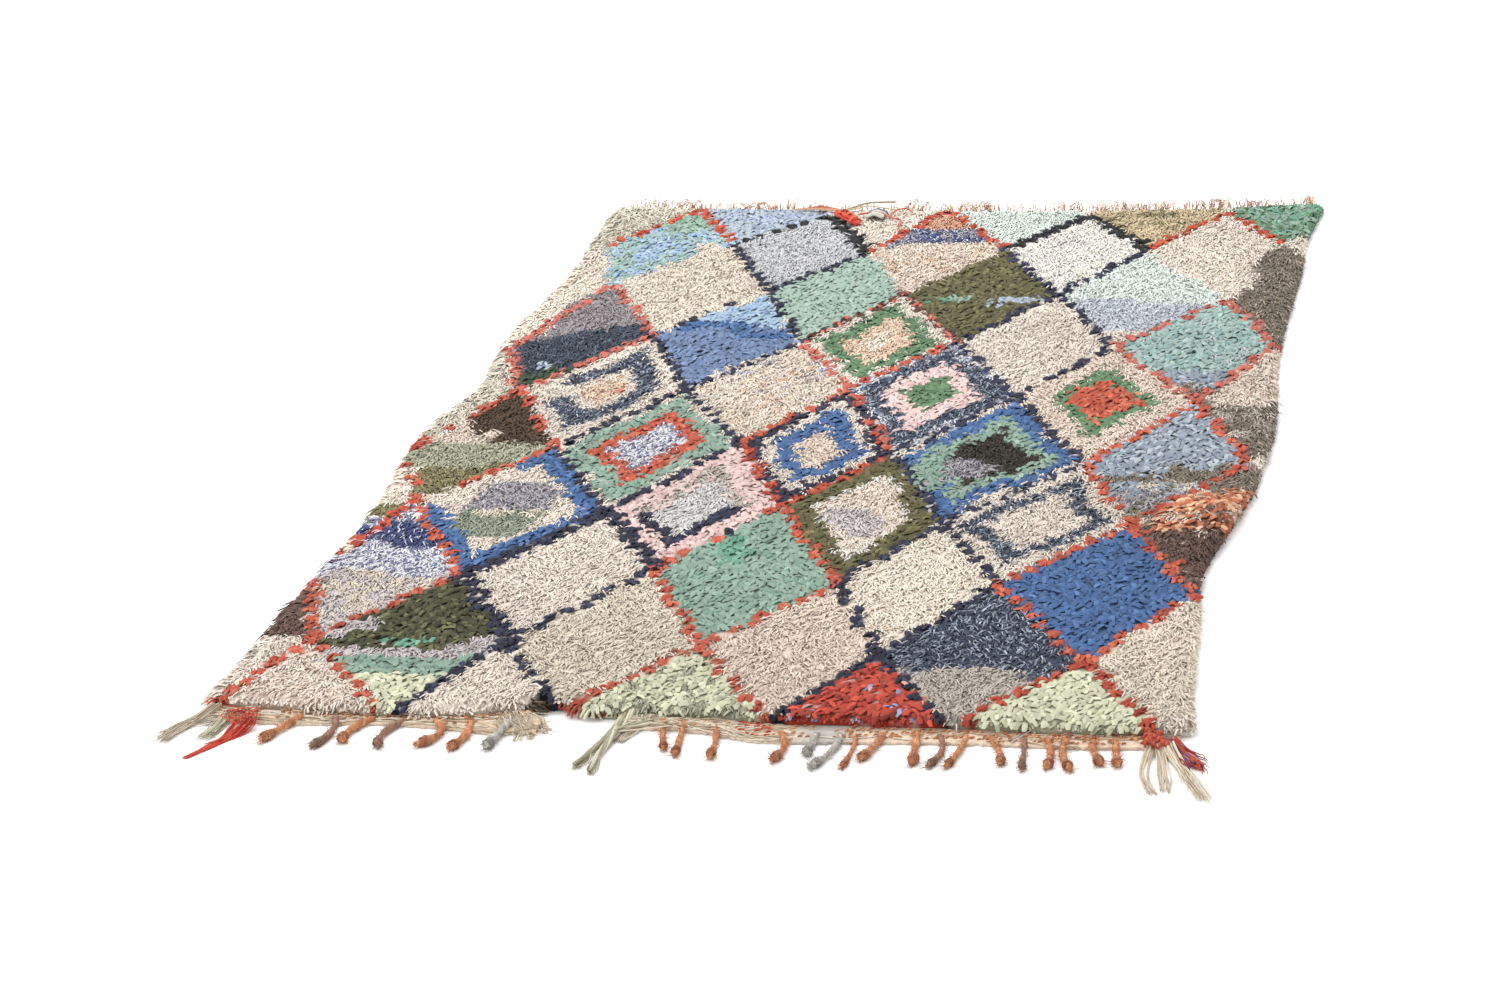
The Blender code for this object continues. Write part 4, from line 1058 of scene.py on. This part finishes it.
# The knotted ends of the near edge: x of the root, across and out from root to tip, thickness, bend and yarn
nearLeftEnds = (
    (-0.529, -0.032, 0.06, 0.013, 0.0, "orange"),
    (-0.476, -0.004, 0.078, 0.012, 0.012, "brown"),
    (-0.42, -0.02, 0.062, 0.013, -0.01, "orange"),
    (-0.37, -0.012, 0.072, 0.012, -0.012, "brown"),
    (-0.325, -0.006, 0.062, 0.013, 0.022, "orange"),
    (-0.272, -0.006, 0.062, 0.013, 0.008, "orange"),
    (-0.216, -0.01, 0.052, 0.014, 0.0, "grey"),
)
nearRightEnds = (
    (0.006, 0.022, 0.064, 0.01, 0.0, "orange"),
    (0.038, 0.01, 0.08, 0.011, 0.0, "orange"),
    (0.085, 0.013, 0.075, 0.011, 0.004, "orange"),
    (0.18, 0.006, 0.06, 0.012, 0.012, "orange"),
    (0.232, -0.002, 0.04, 0.012, 0.0, "grey"),
    (0.262, -0.02, 0.082, 0.011, 0.01, "grey"),
    (0.286, 0.0, 0.078, 0.008, 0.004, "orange"),
    (0.322, -0.016, 0.056, 0.012, 0.004, "orange"),
    (0.372, 0.01, 0.064, 0.013, 0.0, "orange"),
    (0.402, 0.0, 0.072, 0.01, 0.012, "brown"),
    (0.438, -0.01, 0.072, 0.01, 0.004, "orange"),
    (0.474, 0.026, 0.058, 0.011, 0.006, "orange"),
    (0.522, 0.01, 0.072, 0.009, 0.0, "brown"),
    (0.552, 0.012, 0.064, 0.012, 0.006, "orange"),
    (0.58, 0.018, 0.068, 0.012, -0.008, "orange"),
    (0.616, 0.02, 0.05, 0.012, -0.004, "orange"),
    (0.646, 0.012, 0.054, 0.012, 0.0, "orange"),
)
# Clusters of loose warp at the far edge: from x to x, and how many tufts
farEnds = (
    (-0.65, -0.53, 8), (-0.473, -0.346, 9), (-0.12, -0.09, 3), (-0.02, 0.002, 3), (0.014, 0.06, 7),
    (0.205, 0.24, 3), (0.27, 0.34, 7), (0.345, 0.41, 6), (0.455, 0.517, 7), (0.53, 0.595, 6), (0.655, 0.69, 4),
)


# A place on a band by its x from the lattice's middle
def bandPlace(band, x, share):
    return onBand(band, x + latticeMiddle[0], share)


def makeKnottedFringe(name, band, ends, seed):
    dice = np.random.default_rng(seed)
    strands, hairs = [], []
    for x, across, out, thick, bend, tones in ends:
        start = bandPlace(band, x - across * 0.1, twistedEnd["rootShare"])
        end = bandPlace(band, x, 0.0) + (across, -out, 0)
        made, loose = twistedTassel(start, end, bend, thick, tones, dice)
        strands += made
        hairs += loose
    return [strandPiece(name, strands), strandPiece(name + "Fuzz", hairs, 4)]


# Loose ends of orange and brown warp: fine tufts in clusters, and short fuzz all along the far edge
wisps = {
    "seed": 41, "strands": 6, "thin": 0.0012, "out": (0.022, 0.052), "across": 0.016, "rise": 0.01,
    "fuzzEvery": 0.0056, "fuzzThin": 0.0016, "fuzzOut": (0.002, 0.014), "fuzzHigh": (0.016, 0.026),
}


def makeFarFringe():
    dice = np.random.default_rng(wisps["seed"])
    band = bands["farWeave"]
    strands = []
    for low, high, count in farEnds:
        for x in np.linspace(low, high, count) + dice.normal(0, 0.003, count):
            start = bandPlace(band, x, 0.3)
            end = start + (dice.normal(0, wisps["across"]), dice.uniform(*wisps["out"]), 0)
            made = looseBundle(
                dice, start, end, 0.0, wisps["strands"], wisps["thin"], "rust", (0.002, 0.007), 9, 0.004, 3.0,
            )
            for line, *_ in made:
                line[:, 2] += wisps["rise"] * np.sin(np.linspace(0, 2.4, len(line))) * dice.uniform(0.2, 1.6)
            strands += made
    for x in np.arange(band["xs"][0] + 0.02, band["xs"][-1] - 0.01, wisps["fuzzEvery"]):
        for tones in ("rust", "cream"):
            start = onBand(band, x + dice.normal(0, 0.003), dice.uniform(0.2, 0.9))
            end = start + (dice.normal(0, 0.006), dice.uniform(*wisps["fuzzOut"]), 0)
            end[2] = dice.uniform(*wisps["fuzzHigh"])
            bend = (start + end) / 2 + (dice.normal(0, 0.003), 0, 0.005)
            strands.append((np.array((start, bend, end)), wisps["fuzzThin"], tone(tones, dice)))
    return strandPiece("farFringe", strands, 4)


# Raised stitches on the bands: start and end of the stretch, shares of the band, spacing, share sewn and yarn
stitchRows = {
    "nearRightWeave": (
        (0.27, 0.69, (0.84, 0.71, 0.58, 0.45, 0.32), 0.0072, 0.6, "paleOrange"),
        (-0.02, 0.285, (0.9, 0.7, 0.5, 0.3), 0.012, 0.42, "paleOrange"),
        (0.118, 0.165, (0.98, 0.86, 0.74, 0.6, 0.45, 0.3), 0.0046, 0.7, "red"),
        (0.56, 0.69, (0.9, 0.66), 0.01, 0.5, "coral"),
    ),
    "nearLeftWeave": (
        (-0.56, -0.19, (0.95, 0.84, 0.7), 0.006, 0.55, "rust"),
        (-0.56, -0.25, (0.5, 0.34), 0.014, 0.3, "rust"),
    ),
    "farWeave": ((-0.64, 0.69, (0.85, 0.35), 0.0085, 0.6, "rust"),),
}
stitch = {"seed": 51, "long": 0.0062, "thin": 0.0027, "proud": 0.0012, "lift": 0.0012}
# One slanting line of indigo and cream across the right band
slantLine = {
    "start": 0.519, "step": 0.004, "shareStep": 0.09, "rise": 0.003,
    "shift": (0.01, -0.052), "thin": (0.0022, 0.0018),
}


def makeStitches():
    dice = np.random.default_rng(stitch["seed"])
    strands = []
    width = stitch["thin"] * np.array((0.5, 1.0, 1.0, 0.5))
    lift = np.array((0, 0, stitch["proud"]))
    for name, rows in stitchRows.items():
        for start, end, shares, spacing, sewn, tones in rows:
            for share in shares:
                for x in np.arange(start, end, spacing) + latticeMiddle[0]:
                    if dice.random() > sewn:
                        continue
                    centre = onBand(bands[name], x + dice.normal(0, 0.0012), share + dice.normal(0, 0.02))
                    centre = centre + (0, 0, stitch["lift"])
                    turn = dice.normal(0.5, 0.35)
                    half = np.array((math.cos(turn), math.sin(turn), 0)) * stitch["long"] / 2
                    line = (centre - half, centre - half * 0.4 + lift, centre + half * 0.4 + lift, centre + half)
                    strands.append((line, width, tone(tones, dice)))
    first, step = slantLine["start"] + latticeMiddle[0], slantLine["step"]
    path = [onBand(bands["nearRightWeave"], first + step * k, 0.99 - slantLine["shareStep"] * k) for k in range(-1, 10)]
    path = np.array(path) + (0, 0, slantLine["rise"])
    path[:, 0] = np.linspace(path[0, 0] + slantLine["shift"][0], path[-1, 0] + slantLine["shift"][1], len(path))
    thin = slantLine["thin"]
    strands.append((path, thin[0], tone("indigo", dice, 1)))
    strands.append((path + (thin[0], 0, 0), thin[1], tone("cream", dice, 2)))
    return strandPiece("bandStitches", strands, 4)


# Loose warp threads that lie along the bands
threads = {
    "seed": 61, "points": 12, "thin": 0.0017, "stretches": (
        ("nearLeftWeave", -0.684, -0.175, 80), ("nearRightWeave", -0.018, 0.2, 60),
        ("nearRightWeave", 0.2, 0.725, 16), ("farWeave", -0.69, 0.7, 40),
    ),
}


def makeThreads():
    dice = np.random.default_rng(threads["seed"])
    strands = []
    for name, start, end, count in threads["stretches"]:
        band = bands[name]
        for _ in range(count):
            reach = dice.uniform(0.03, 0.11)
            first = dice.uniform(start, end - reach * 0.7) + latticeMiddle[0]
            x = np.linspace(first, min(first + reach, end + latticeMiddle[0]), threads["points"])
            share = dice.uniform(0.02, 0.92) + 0.1 * np.sin(dice.uniform(20, 60) * x + dice.uniform(0, 6))
            path = onBand(band, x, np.clip(share + dice.normal(0, 0.12) * np.linspace(-1, 1, len(x)), 0.0, 0.98))
            path[:, 2] += threads["thin"] * 0.3 + 0.0012 * np.abs(np.sin(dice.uniform(30, 70) * x))
            strands.append((path, threads["thin"] * dice.uniform(0.7, 1.4), tone("cream", dice)))
    return strandPiece("bandThreads", strands, 4)


# The loose bunches at the two corners, from the lattice's middle: start, end, belly, strands, thinness, yarn, spread
cornerBunches = {
    "leftCornerTassel": (
        ((-0.662, -1.136, 0.012), (-0.708, -1.234, 0.0), -0.008, 40, 0.0018, "greyCream", (0.008, 0.013)),
        ((-0.638, -1.15, 0.009), (-0.648, -1.224, 0.0), 0.0, 22, 0.0017, "paleGreen", (0.008, 0.01)),
        ((-0.606, -1.136, 0.009), (-0.676, -1.178, 0.004), 0.0, 22, 0.0018, "greyCream", (0.008, 0.014)),
    ),
    "rightCornerTassel": (
        ((0.698, -1.142, 0.012), (0.716, -1.272, 0.0), -0.014, 18, 0.0016, "cream", (0.005, 0.005)),
        ((0.706, -1.146, 0.012), (0.73, -1.266, 0.0), 0.002, 20, 0.0016, "cream", (0.005, 0.007)),
        ((0.72, -1.144, 0.013), (0.786, -1.286, 0.0), 0.0, 26, 0.0017, "cream", (0.007, 0.009)),
        ((0.712, -1.146, 0.012), (0.764, -1.25, 0.0), 0.006, 14, 0.0015, "cream", (0.006, 0.014)),
    ),
}
redTuft = ((0.722, -1.14, 0.015), (0.764, -1.196, 0.0), 0.004, 44, 0.0022, "redIndigo", (0.01, 0.014))
# The coral border's last knots run on over the band to the corner
redKnots = {
    "seed": 71, "places": (
        (0.688, -1.106), (0.696, -1.112), (0.69, -1.118), (0.7, -1.122), (0.694, -1.128), (0.704, -1.132),
        (0.698, -1.138), (0.692, -1.142), (0.708, -1.142), (0.716, -1.138),
    ),
    "strips": 7, "wide": (0.0035, 0.0052, 0.0025), "height": 0.014,
}


def makeCorners():
    dice = np.random.default_rng(redKnots["seed"])
    pieces = {}
    for name, bunches in cornerBunches.items():
        strands = []
        for bunch in bunches:
            strands += rugBundle(dice, *bunch)
        pieces[name] = strandPiece(name, strands)
    strands = rugBundle(dice, *redTuft, wave=0.003)
    for x, y in redKnots["places"]:
        for _ in range(redKnots["strips"]):
            foot = rugPlace(x + dice.normal(0, 0.0035), y + dice.normal(0, 0.003), redKnots["height"])
            end = foot + (dice.normal(0, 0.006), -dice.uniform(0.006, 0.014), -0.003)
            line = np.array((foot, (foot + end) / 2 + (0, 0, 0.004), end))
            strands.append((line, np.array(redKnots["wide"]), tone("coral", dice)))
    pieces["rightCornerTuft"] = strandPiece("rightCornerTuft", strands, finish="rag")
    return pieces


# The red rag beside the left corner: its strands meet in one point, with loose curls over the band
redRag = {
    "seed": 81, "start": (-0.6, -1.182, 0.009), "end": (-0.652, -1.284, 0.0),
    "strands": 22, "besides": 8, "thin": 0.0017,
    "curls": 30, "curlThin": 0.0012, "curlsReach": ((-0.648, -0.578), (-1.178, -1.14)),
}


def makeRedRag():
    dice = np.random.default_rng(redRag["seed"])
    start, end = rugPlace(*redRag["start"]), rugPlace(*redRag["end"])
    thin = redRag["thin"]
    strands = looseBundle(dice, start, end, 0.003, redRag["strands"], thin, "red", (0.017, 0.0016), 16, 0.0016)
    besides = start + (0.006, 0.004, 0), end + (0.014, 0.045, 0)
    strands += looseBundle(dice, *besides, 0.004, redRag["besides"], thin, "red", (0.012, 0.004))
    acrossReach, alongReach = redRag["curlsReach"]
    t = np.linspace(0, 1, 14)[:, None]
    for _ in range(redRag["curls"]):
        foot = start + (dice.uniform(-0.016, 0.014), dice.uniform(-0.01, 0.006), 0.0)
        tip = rugPlace(dice.uniform(*acrossReach), dice.uniform(*alongReach), 0.01 + 0.008 * dice.random())
        side = np.array((dice.normal(0, 0.012), dice.normal(0, 0.006), dice.uniform(0.002, 0.01)))
        path = foot + t * (tip - foot) + np.sin(math.pi * t) * side
        strands.append((path, redRag["curlThin"], tone("red", dice)))
    return strandPiece("redRagLeft", strands, finish="rag")


# The cords twisted from the torn warp: start, end, belly and thickness
tornCords = {
    "seed": 91, "points": 24, "plies": 7, "turns": 1.3, "taper": 0.5, "brush": 18,
    "cords": (
        ((-0.052, -1.096, 0.01), (-0.085, -1.262, 0.0), 0.006, 0.0135),
        ((-0.043, -1.104, 0.011), (-0.06, -1.276, 0.0), -0.004, 0.0135),
    ),
}
# The folded end of the band beside them: warp that gathers into the cords, and a frayed flap
foldedEnd = {
    "strands": 60, "thin": 0.0022, "root": (-0.036, -1.108), "spread": (0.06, 0.034), "tip": (-0.05, -1.116),
    "flap": ((-0.022, -1.118, 0.01), (-0.043, -1.182, 0.0), -0.003, 34, 0.0019, "greyCream", (0.009, 0.007), 10),
}


def makeNotchCords():
    dice = np.random.default_rng(tornCords["seed"])
    strands = []
    t = np.linspace(0, 1, tornCords["points"])
    plies, taper = tornCords["plies"], tornCords["taper"]
    for start, end, belly, thick in tornCords["cords"]:
        path = bowedPath(rugPlace(*start), rugPlace(*end), belly, len(t), thick * 0.42, 0.5)
        side, up = frames(path)
        for ply in range(plies):
            phase = 2 * math.pi * (tornCords["turns"] * t + ply / plies)
            track = coil(path, side, up, phase, thick * (0.34 if ply else 0.0) * (1 - taper * t), 0.8)
            strands.append((track, thick * 0.36 * (1 - taper * t**2), tone("paleGreen", dice)))
        tip = path[-1] + (dice.normal(0, 0.004), -0.008, 0)
        strands += looseBundle(dice, path[-6], tip, 0, tornCords["brush"], 0.0013, "paleGreen", (0.004, 0.006), 6)
    for k in range(foldedEnd["strands"]):
        across = dice.uniform(0, 1)
        y = foldedEnd["root"][1] - foldedEnd["spread"][1] * dice.random() * (0.3 + across)
        foot = rugPlace(foldedEnd["root"][0] + foldedEnd["spread"][0] * across, y, 0.006 + 0.006 * dice.random())
        tip = rugPlace(foldedEnd["tip"][0] - 0.01 * dice.random(), foldedEnd["tip"][1] - 0.05 * dice.random(), 0.009)
        path = bowedPath(foot, tip, -0.004, 10, 0.005 + 0.006 * dice.random(), 0.9)
        strands.append((path, foldedEnd["thin"], tone("greyCream" if k % 3 else "paleGreen", dice)))
    strands += rugBundle(dice, *foldedEnd["flap"])
    return strandPiece("notchCords", strands)


# The frayed lip at the left of the notch: fine ends of warp that point out of the tear
frayed = {
    "seed": 93, "strands": 120, "thin": 0.0013, "out": (0.018, 0.05), "heading": (-0.75, 0.42),
    "root": (-0.235, -1.108), "spread": (0.055, 0.044), "bunch": (0.002, 12, 0.0018, "cream", (0.003, 0.004), 8),
    "bunches": (
        ((-0.197, -1.15, 0.007), (-0.19, -1.192, 0.0)), ((-0.185, -1.15, 0.007), (-0.174, -1.184, 0.0)),
        ((-0.17, -1.13, 0.009), (-0.158, -1.162, 0.0)),
    ),
}


def makeFrayedLip():
    dice = np.random.default_rng(frayed["seed"])
    strands = []
    for k in range(frayed["strands"]):
        share = dice.random()
        y = frayed["root"][1] - frayed["spread"][1] * dice.random() - 0.012 * share
        foot = rugPlace(frayed["root"][0] + frayed["spread"][0] * share, y, 0.005 + 0.01 * dice.random())
        way = dice.normal(*frayed["heading"])
        reach = dice.uniform(*frayed["out"]) * (0.5 + 0.5 * share)
        tip = foot + (math.cos(way) * reach, math.sin(way) * reach, -0.003)
        path = bowedPath(foot, tip, dice.normal(0, 0.003), 8, 0.002 + 0.006 * dice.random(), 0.9)
        strands.append((path, frayed["thin"], tone("cream" if k % 3 else "greyCream", dice)))
    for start, end in frayed["bunches"]:
        strands += rugBundle(dice, start, end, *frayed["bunch"])
    # Dark strands that lie in the hollow, as painted shadow under the lifted pile edge
    for _ in range(hollow["strands"]):
        across, along = hollow["reach"][0] * dice.uniform(-0.8, 0.8), hollow["reach"][1] * dice.uniform(-1.0, 0.6)
        x, y = hollow["middle"][0] + across, hollow["middle"][1] + along
        foot = rugPlace(x - 0.009, y, 0.012 + 0.5 * (y - hollow["middle"][1]))
        path = (foot, foot + (0.008, dice.normal(0, 0.002), 0.002), foot + (0.016, dice.normal(0, 0.005), -0.001))
        strands.append((path, hollow["thick"], tone("umber", dice)))
    return strandPiece("frayedLip", strands, 4)


# Coral yarn that overcasts the torn edge, over the path of its packed cord
overcast = {"seed": 95, "turns": 17, "thick": 0.0028, "coralEnd": -0.088}  # further right the yarn is pale green


def makeEdgeCord():
    dice = np.random.default_rng(overcast["seed"])
    low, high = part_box("notch_edge_cord")
    places = np.array([v.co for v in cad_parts["notch_edge_cord"].data.vertices])
    spine = []
    for x in np.linspace(low.x + 0.002, high.x - 0.002, overcast["turns"] + 1):
        near = places[np.abs(places[:, 0] - x) < 0.008]
        spine.append((x, near[:, 1].mean(), near[:, 2].mean()))
    spine = np.array(spine)
    isCoral = spine[:, 0] - latticeMiddle[0] < overcast["coralEnd"]
    worn = np.where(isCoral[:, None], tone("coral", dice, 2), yarnTones["paleGreen"][1])
    strands = [(spine, overcast["thick"] * 1.3, worn)]
    turn = np.linspace(-0.4, 2.6, 8)
    for (x, y, z), coral in zip(spine, isCoral):
        path = np.column_stack((
            x + 0.003 * turn / 2 + dice.normal(0, 0.0008),
            y + 0.003 - 0.0042 * np.sin(turn), z - 0.001 + 0.0065 * (1 - np.cos(turn)) * 0.6,
        ))
        thick = overcast["thick"] * dice.uniform(0.8, 1.1)
        strands.append((path, thick, tone("coral" if coral else "paleGreen", dice)))
    return strandPiece("notchEdgeCord", strands)


# The red rags tied over the far end
bundle = {
    "seed": 97, "start": (-0.236, 1.118), "end": (-0.176, 1.03), "strips": 17, "height": 0.024,
    # Red ends that curl away to the right, a pale cord and a grey rag: width, depth, yarn and places
    "ends": (
        (0.0035, 0.003, "red", (-0.19, 1.085, 0.004), (-0.15, 1.1, 0.006), (-0.125, 1.07, 0.003), (-0.1, 1.062, 0.001)),
        (
            0.0032, 0.003, "red",
            (-0.125, 1.072, 0.003), (-0.118, 1.11, 0.006), (-0.1, 1.128, 0.003), (-0.085, 1.108, 0.001),
        ),
        (0.0035, 0.003, "red", (-0.1, 1.062, 0.001), (-0.094, 1.035, 0.002), (-0.098, 1.02, 0.001)),
        (0.005, 0.0045, "greyCream", (-0.225, 1.11, 0.004), (-0.185, 1.155, 0.006), (-0.137, 1.19, -0.004)),
        (0.003, 0.003, "greyCream", (-0.222, 1.106, 0.004), (-0.18, 1.14, 0.005), (-0.12, 1.12, 0.002)),
    ),
}


def makeBundle():
    dice = np.random.default_rng(bundle["seed"])
    start, end = np.array(bundle["start"]), np.array(bundle["end"])
    run = (end - start) / np.linalg.norm(end - start)
    across = np.array((run[1], -run[0]))
    strands = []

    def lay(wide, deep, tones, *points):
        places = np.array([rugPlace(x, y, bundle["height"] + z) for x, y, z in points])
        t = np.linspace(0, len(places) - 1, 14)
        path = np.column_stack([np.interp(t, range(len(places)), places[:, k]) for k in range(3)])
        path[1:-1] = (path[:-2] + path[1:-1] * 2 + path[2:]) / 4
        strands.append((path, wide, tone(tones, dice), deep))

    for k in range(bundle["strips"]):
        off = dice.uniform(-0.012, 0.012)
        first = start + across * off + run * dice.uniform(-0.006, 0.02)
        last = end + across * (off * 0.6 + dice.normal(0, 0.003)) - run * dice.uniform(-0.004, 0.03)
        high = dice.uniform(0.002, 0.009)
        middle = (first + last) / 2 + across * dice.normal(0, 0.006)
        wide, tones = dice.uniform(0.004, 0.008), ("red", "redIndigo")[k % 3 == 1]
        lay(wide, 0.0028, tones, (*first, 0.001), (*middle, high), (*last, 0.001))
    for k, tones in enumerate(("redIndigo", "red", "red")):
        centre = start + run * (0.03 + 0.026 * k)
        reach = across * 0.016
        lay(0.006, 0.003, tones, (*(centre - reach), 0.0), (*centre, 0.0125), (*(centre + reach), 0.0))
    for ends in bundle["ends"]:
        lay(*ends)
    for k in range(7):
        y, tones = 1.07 + 0.006 * k, "indigo" if k == 6 else "grey"
        lay(0.0085, 0.004, tones, (-0.172, y, 0.002), (-0.155, y + 0.003, 0.008), (-0.136, y - 0.002, 0.002))
    # Dark threads towards the left
    for k in range(7):
        y, tones = 1.128 + 0.004 * k, ("rust", "brown", "red")[k % 3]
        lay(0.0028, 0.0026, tones, (-0.335 + 0.01 * k, y, 0.0), (-0.285, y - 0.006, 0.003), (-0.225, 1.112, 0.004))
    return strandPiece("redRagBundle", strands, finish="rag")


# The photograph's view: where the camera stands, which way it looks, and its lens
view = {
    "place": (1.3608, -5.41841, 2.16374),
    "right": (0.96813, 0.23805, -0.07785),
    "down": (0.02038, -0.38468, -0.92282),
    "forward": (-0.24963, 0.89183, -0.37727),
    "lens": 85.2,
    "sensor": 36.0,
}


def placeCamera():
    data = bpy.data.cameras.new("rugView")
    data.lens = view["lens"]
    data.sensor_width = view["sensor"]
    data.clip_end = 60
    camera = addObject("rugView", data)
    turn = Matrix((view["right"], [-v for v in view["down"]], [-v for v in view["forward"]])).transposed().to_4x4()
    place = Vector(view["place"]) + Vector((*latticeMiddle, 0))
    camera.matrix_world = Matrix.Translation(place) @ turn
    bpy.context.scene.camera = camera


studio = {
    "floor": (0.97, 0.97, 0.97),
    "world": 0.95,
    "lamps": (
        # name, place, size, watts
        ("overhead", (-0.6, 1.6, 3.2), 3.0, 120),
        ("window", (-3.2, -2.4, 2.8), 2.4, 60),
    ),
}


def lightStudio():
    mesh = bpy.data.meshes.new("studioFloor")
    mesh.from_pydata([(-20, -12, 0), (20, -12, 0), (20, 40, 0), (-20, 40, 0)], [], [(0, 1, 2, 3)])
    floor = addObject("studioFloor", mesh)
    material = bpy.data.materials.new("studioFloor")
    material.use_nodes = True
    shader = material.node_tree.nodes["Principled BSDF"]
    shader.inputs["Base Color"].default_value = (*studio["floor"], 1)
    shader.inputs["Roughness"].default_value = 0.9
    shader.inputs["Specular IOR Level"].default_value = 0.1
    floor.data.materials.append(material)
    world = bpy.data.worlds.new("studioWorld")
    world.use_nodes = True
    world.node_tree.nodes["Background"].inputs["Color"].default_value = (1, 1, 1, 1)
    world.node_tree.nodes["Background"].inputs["Strength"].default_value = studio["world"]
    bpy.context.scene.world = world
    for name, place, size, watts in studio["lamps"]:
        lamp = bpy.data.lights.new(name, "AREA")
        lamp.size = size
        lamp.energy = watts
        made = addObject(name, lamp)
        made.location = place
        made.rotation_euler = (-Vector(place)).to_track_quat("-Z", "Y").to_euler()
    bpy.context.scene.view_settings.view_transform = "Standard"
    bpy.context.scene.view_settings.look = "None"


placeCamera()
surveyCloth()
print("surveyed the packed cloth")
chains = beadChains()
tree = beadTree(chains)
cloth, rim = makeGround(chains, tree)
pilePieces = makePile(chains, tree, rim)
for band in bands.values():
    measureBand(band)
bandPieces = [makeBand(name, band) for name, band in bands.items()] + [makeStitches(), makeThreads(), makeFrayedLip()]
print("wove the bands")
leftFringe = makeKnottedFringe("nearLeftFringe", bands["nearLeftWeave"], nearLeftEnds, seed=101)
rightFringe = makeKnottedFringe("nearRightFringe", bands["nearRightWeave"], nearRightEnds, seed=102)
farFringe = makeFarFringe()
corners = makeCorners()
redRagPiece = makeRedRag()
notchCords = makeNotchCords()
edgeCord = makeEdgeCord()
redBundle = makeBundle()
print("tied the fringes, cords and rags")
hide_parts("rug_cloth")
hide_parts("fringe_near_left")
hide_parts("fringe_near_right")
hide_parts("fringe_far")
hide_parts("corner_tassel_left")
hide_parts("corner_tassel_right")
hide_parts("red_rag_left")
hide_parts("notch_cords")
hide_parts("notch_edge_cord")
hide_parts("red_rag_bundle")
lightStudio()
print("lit the studio")
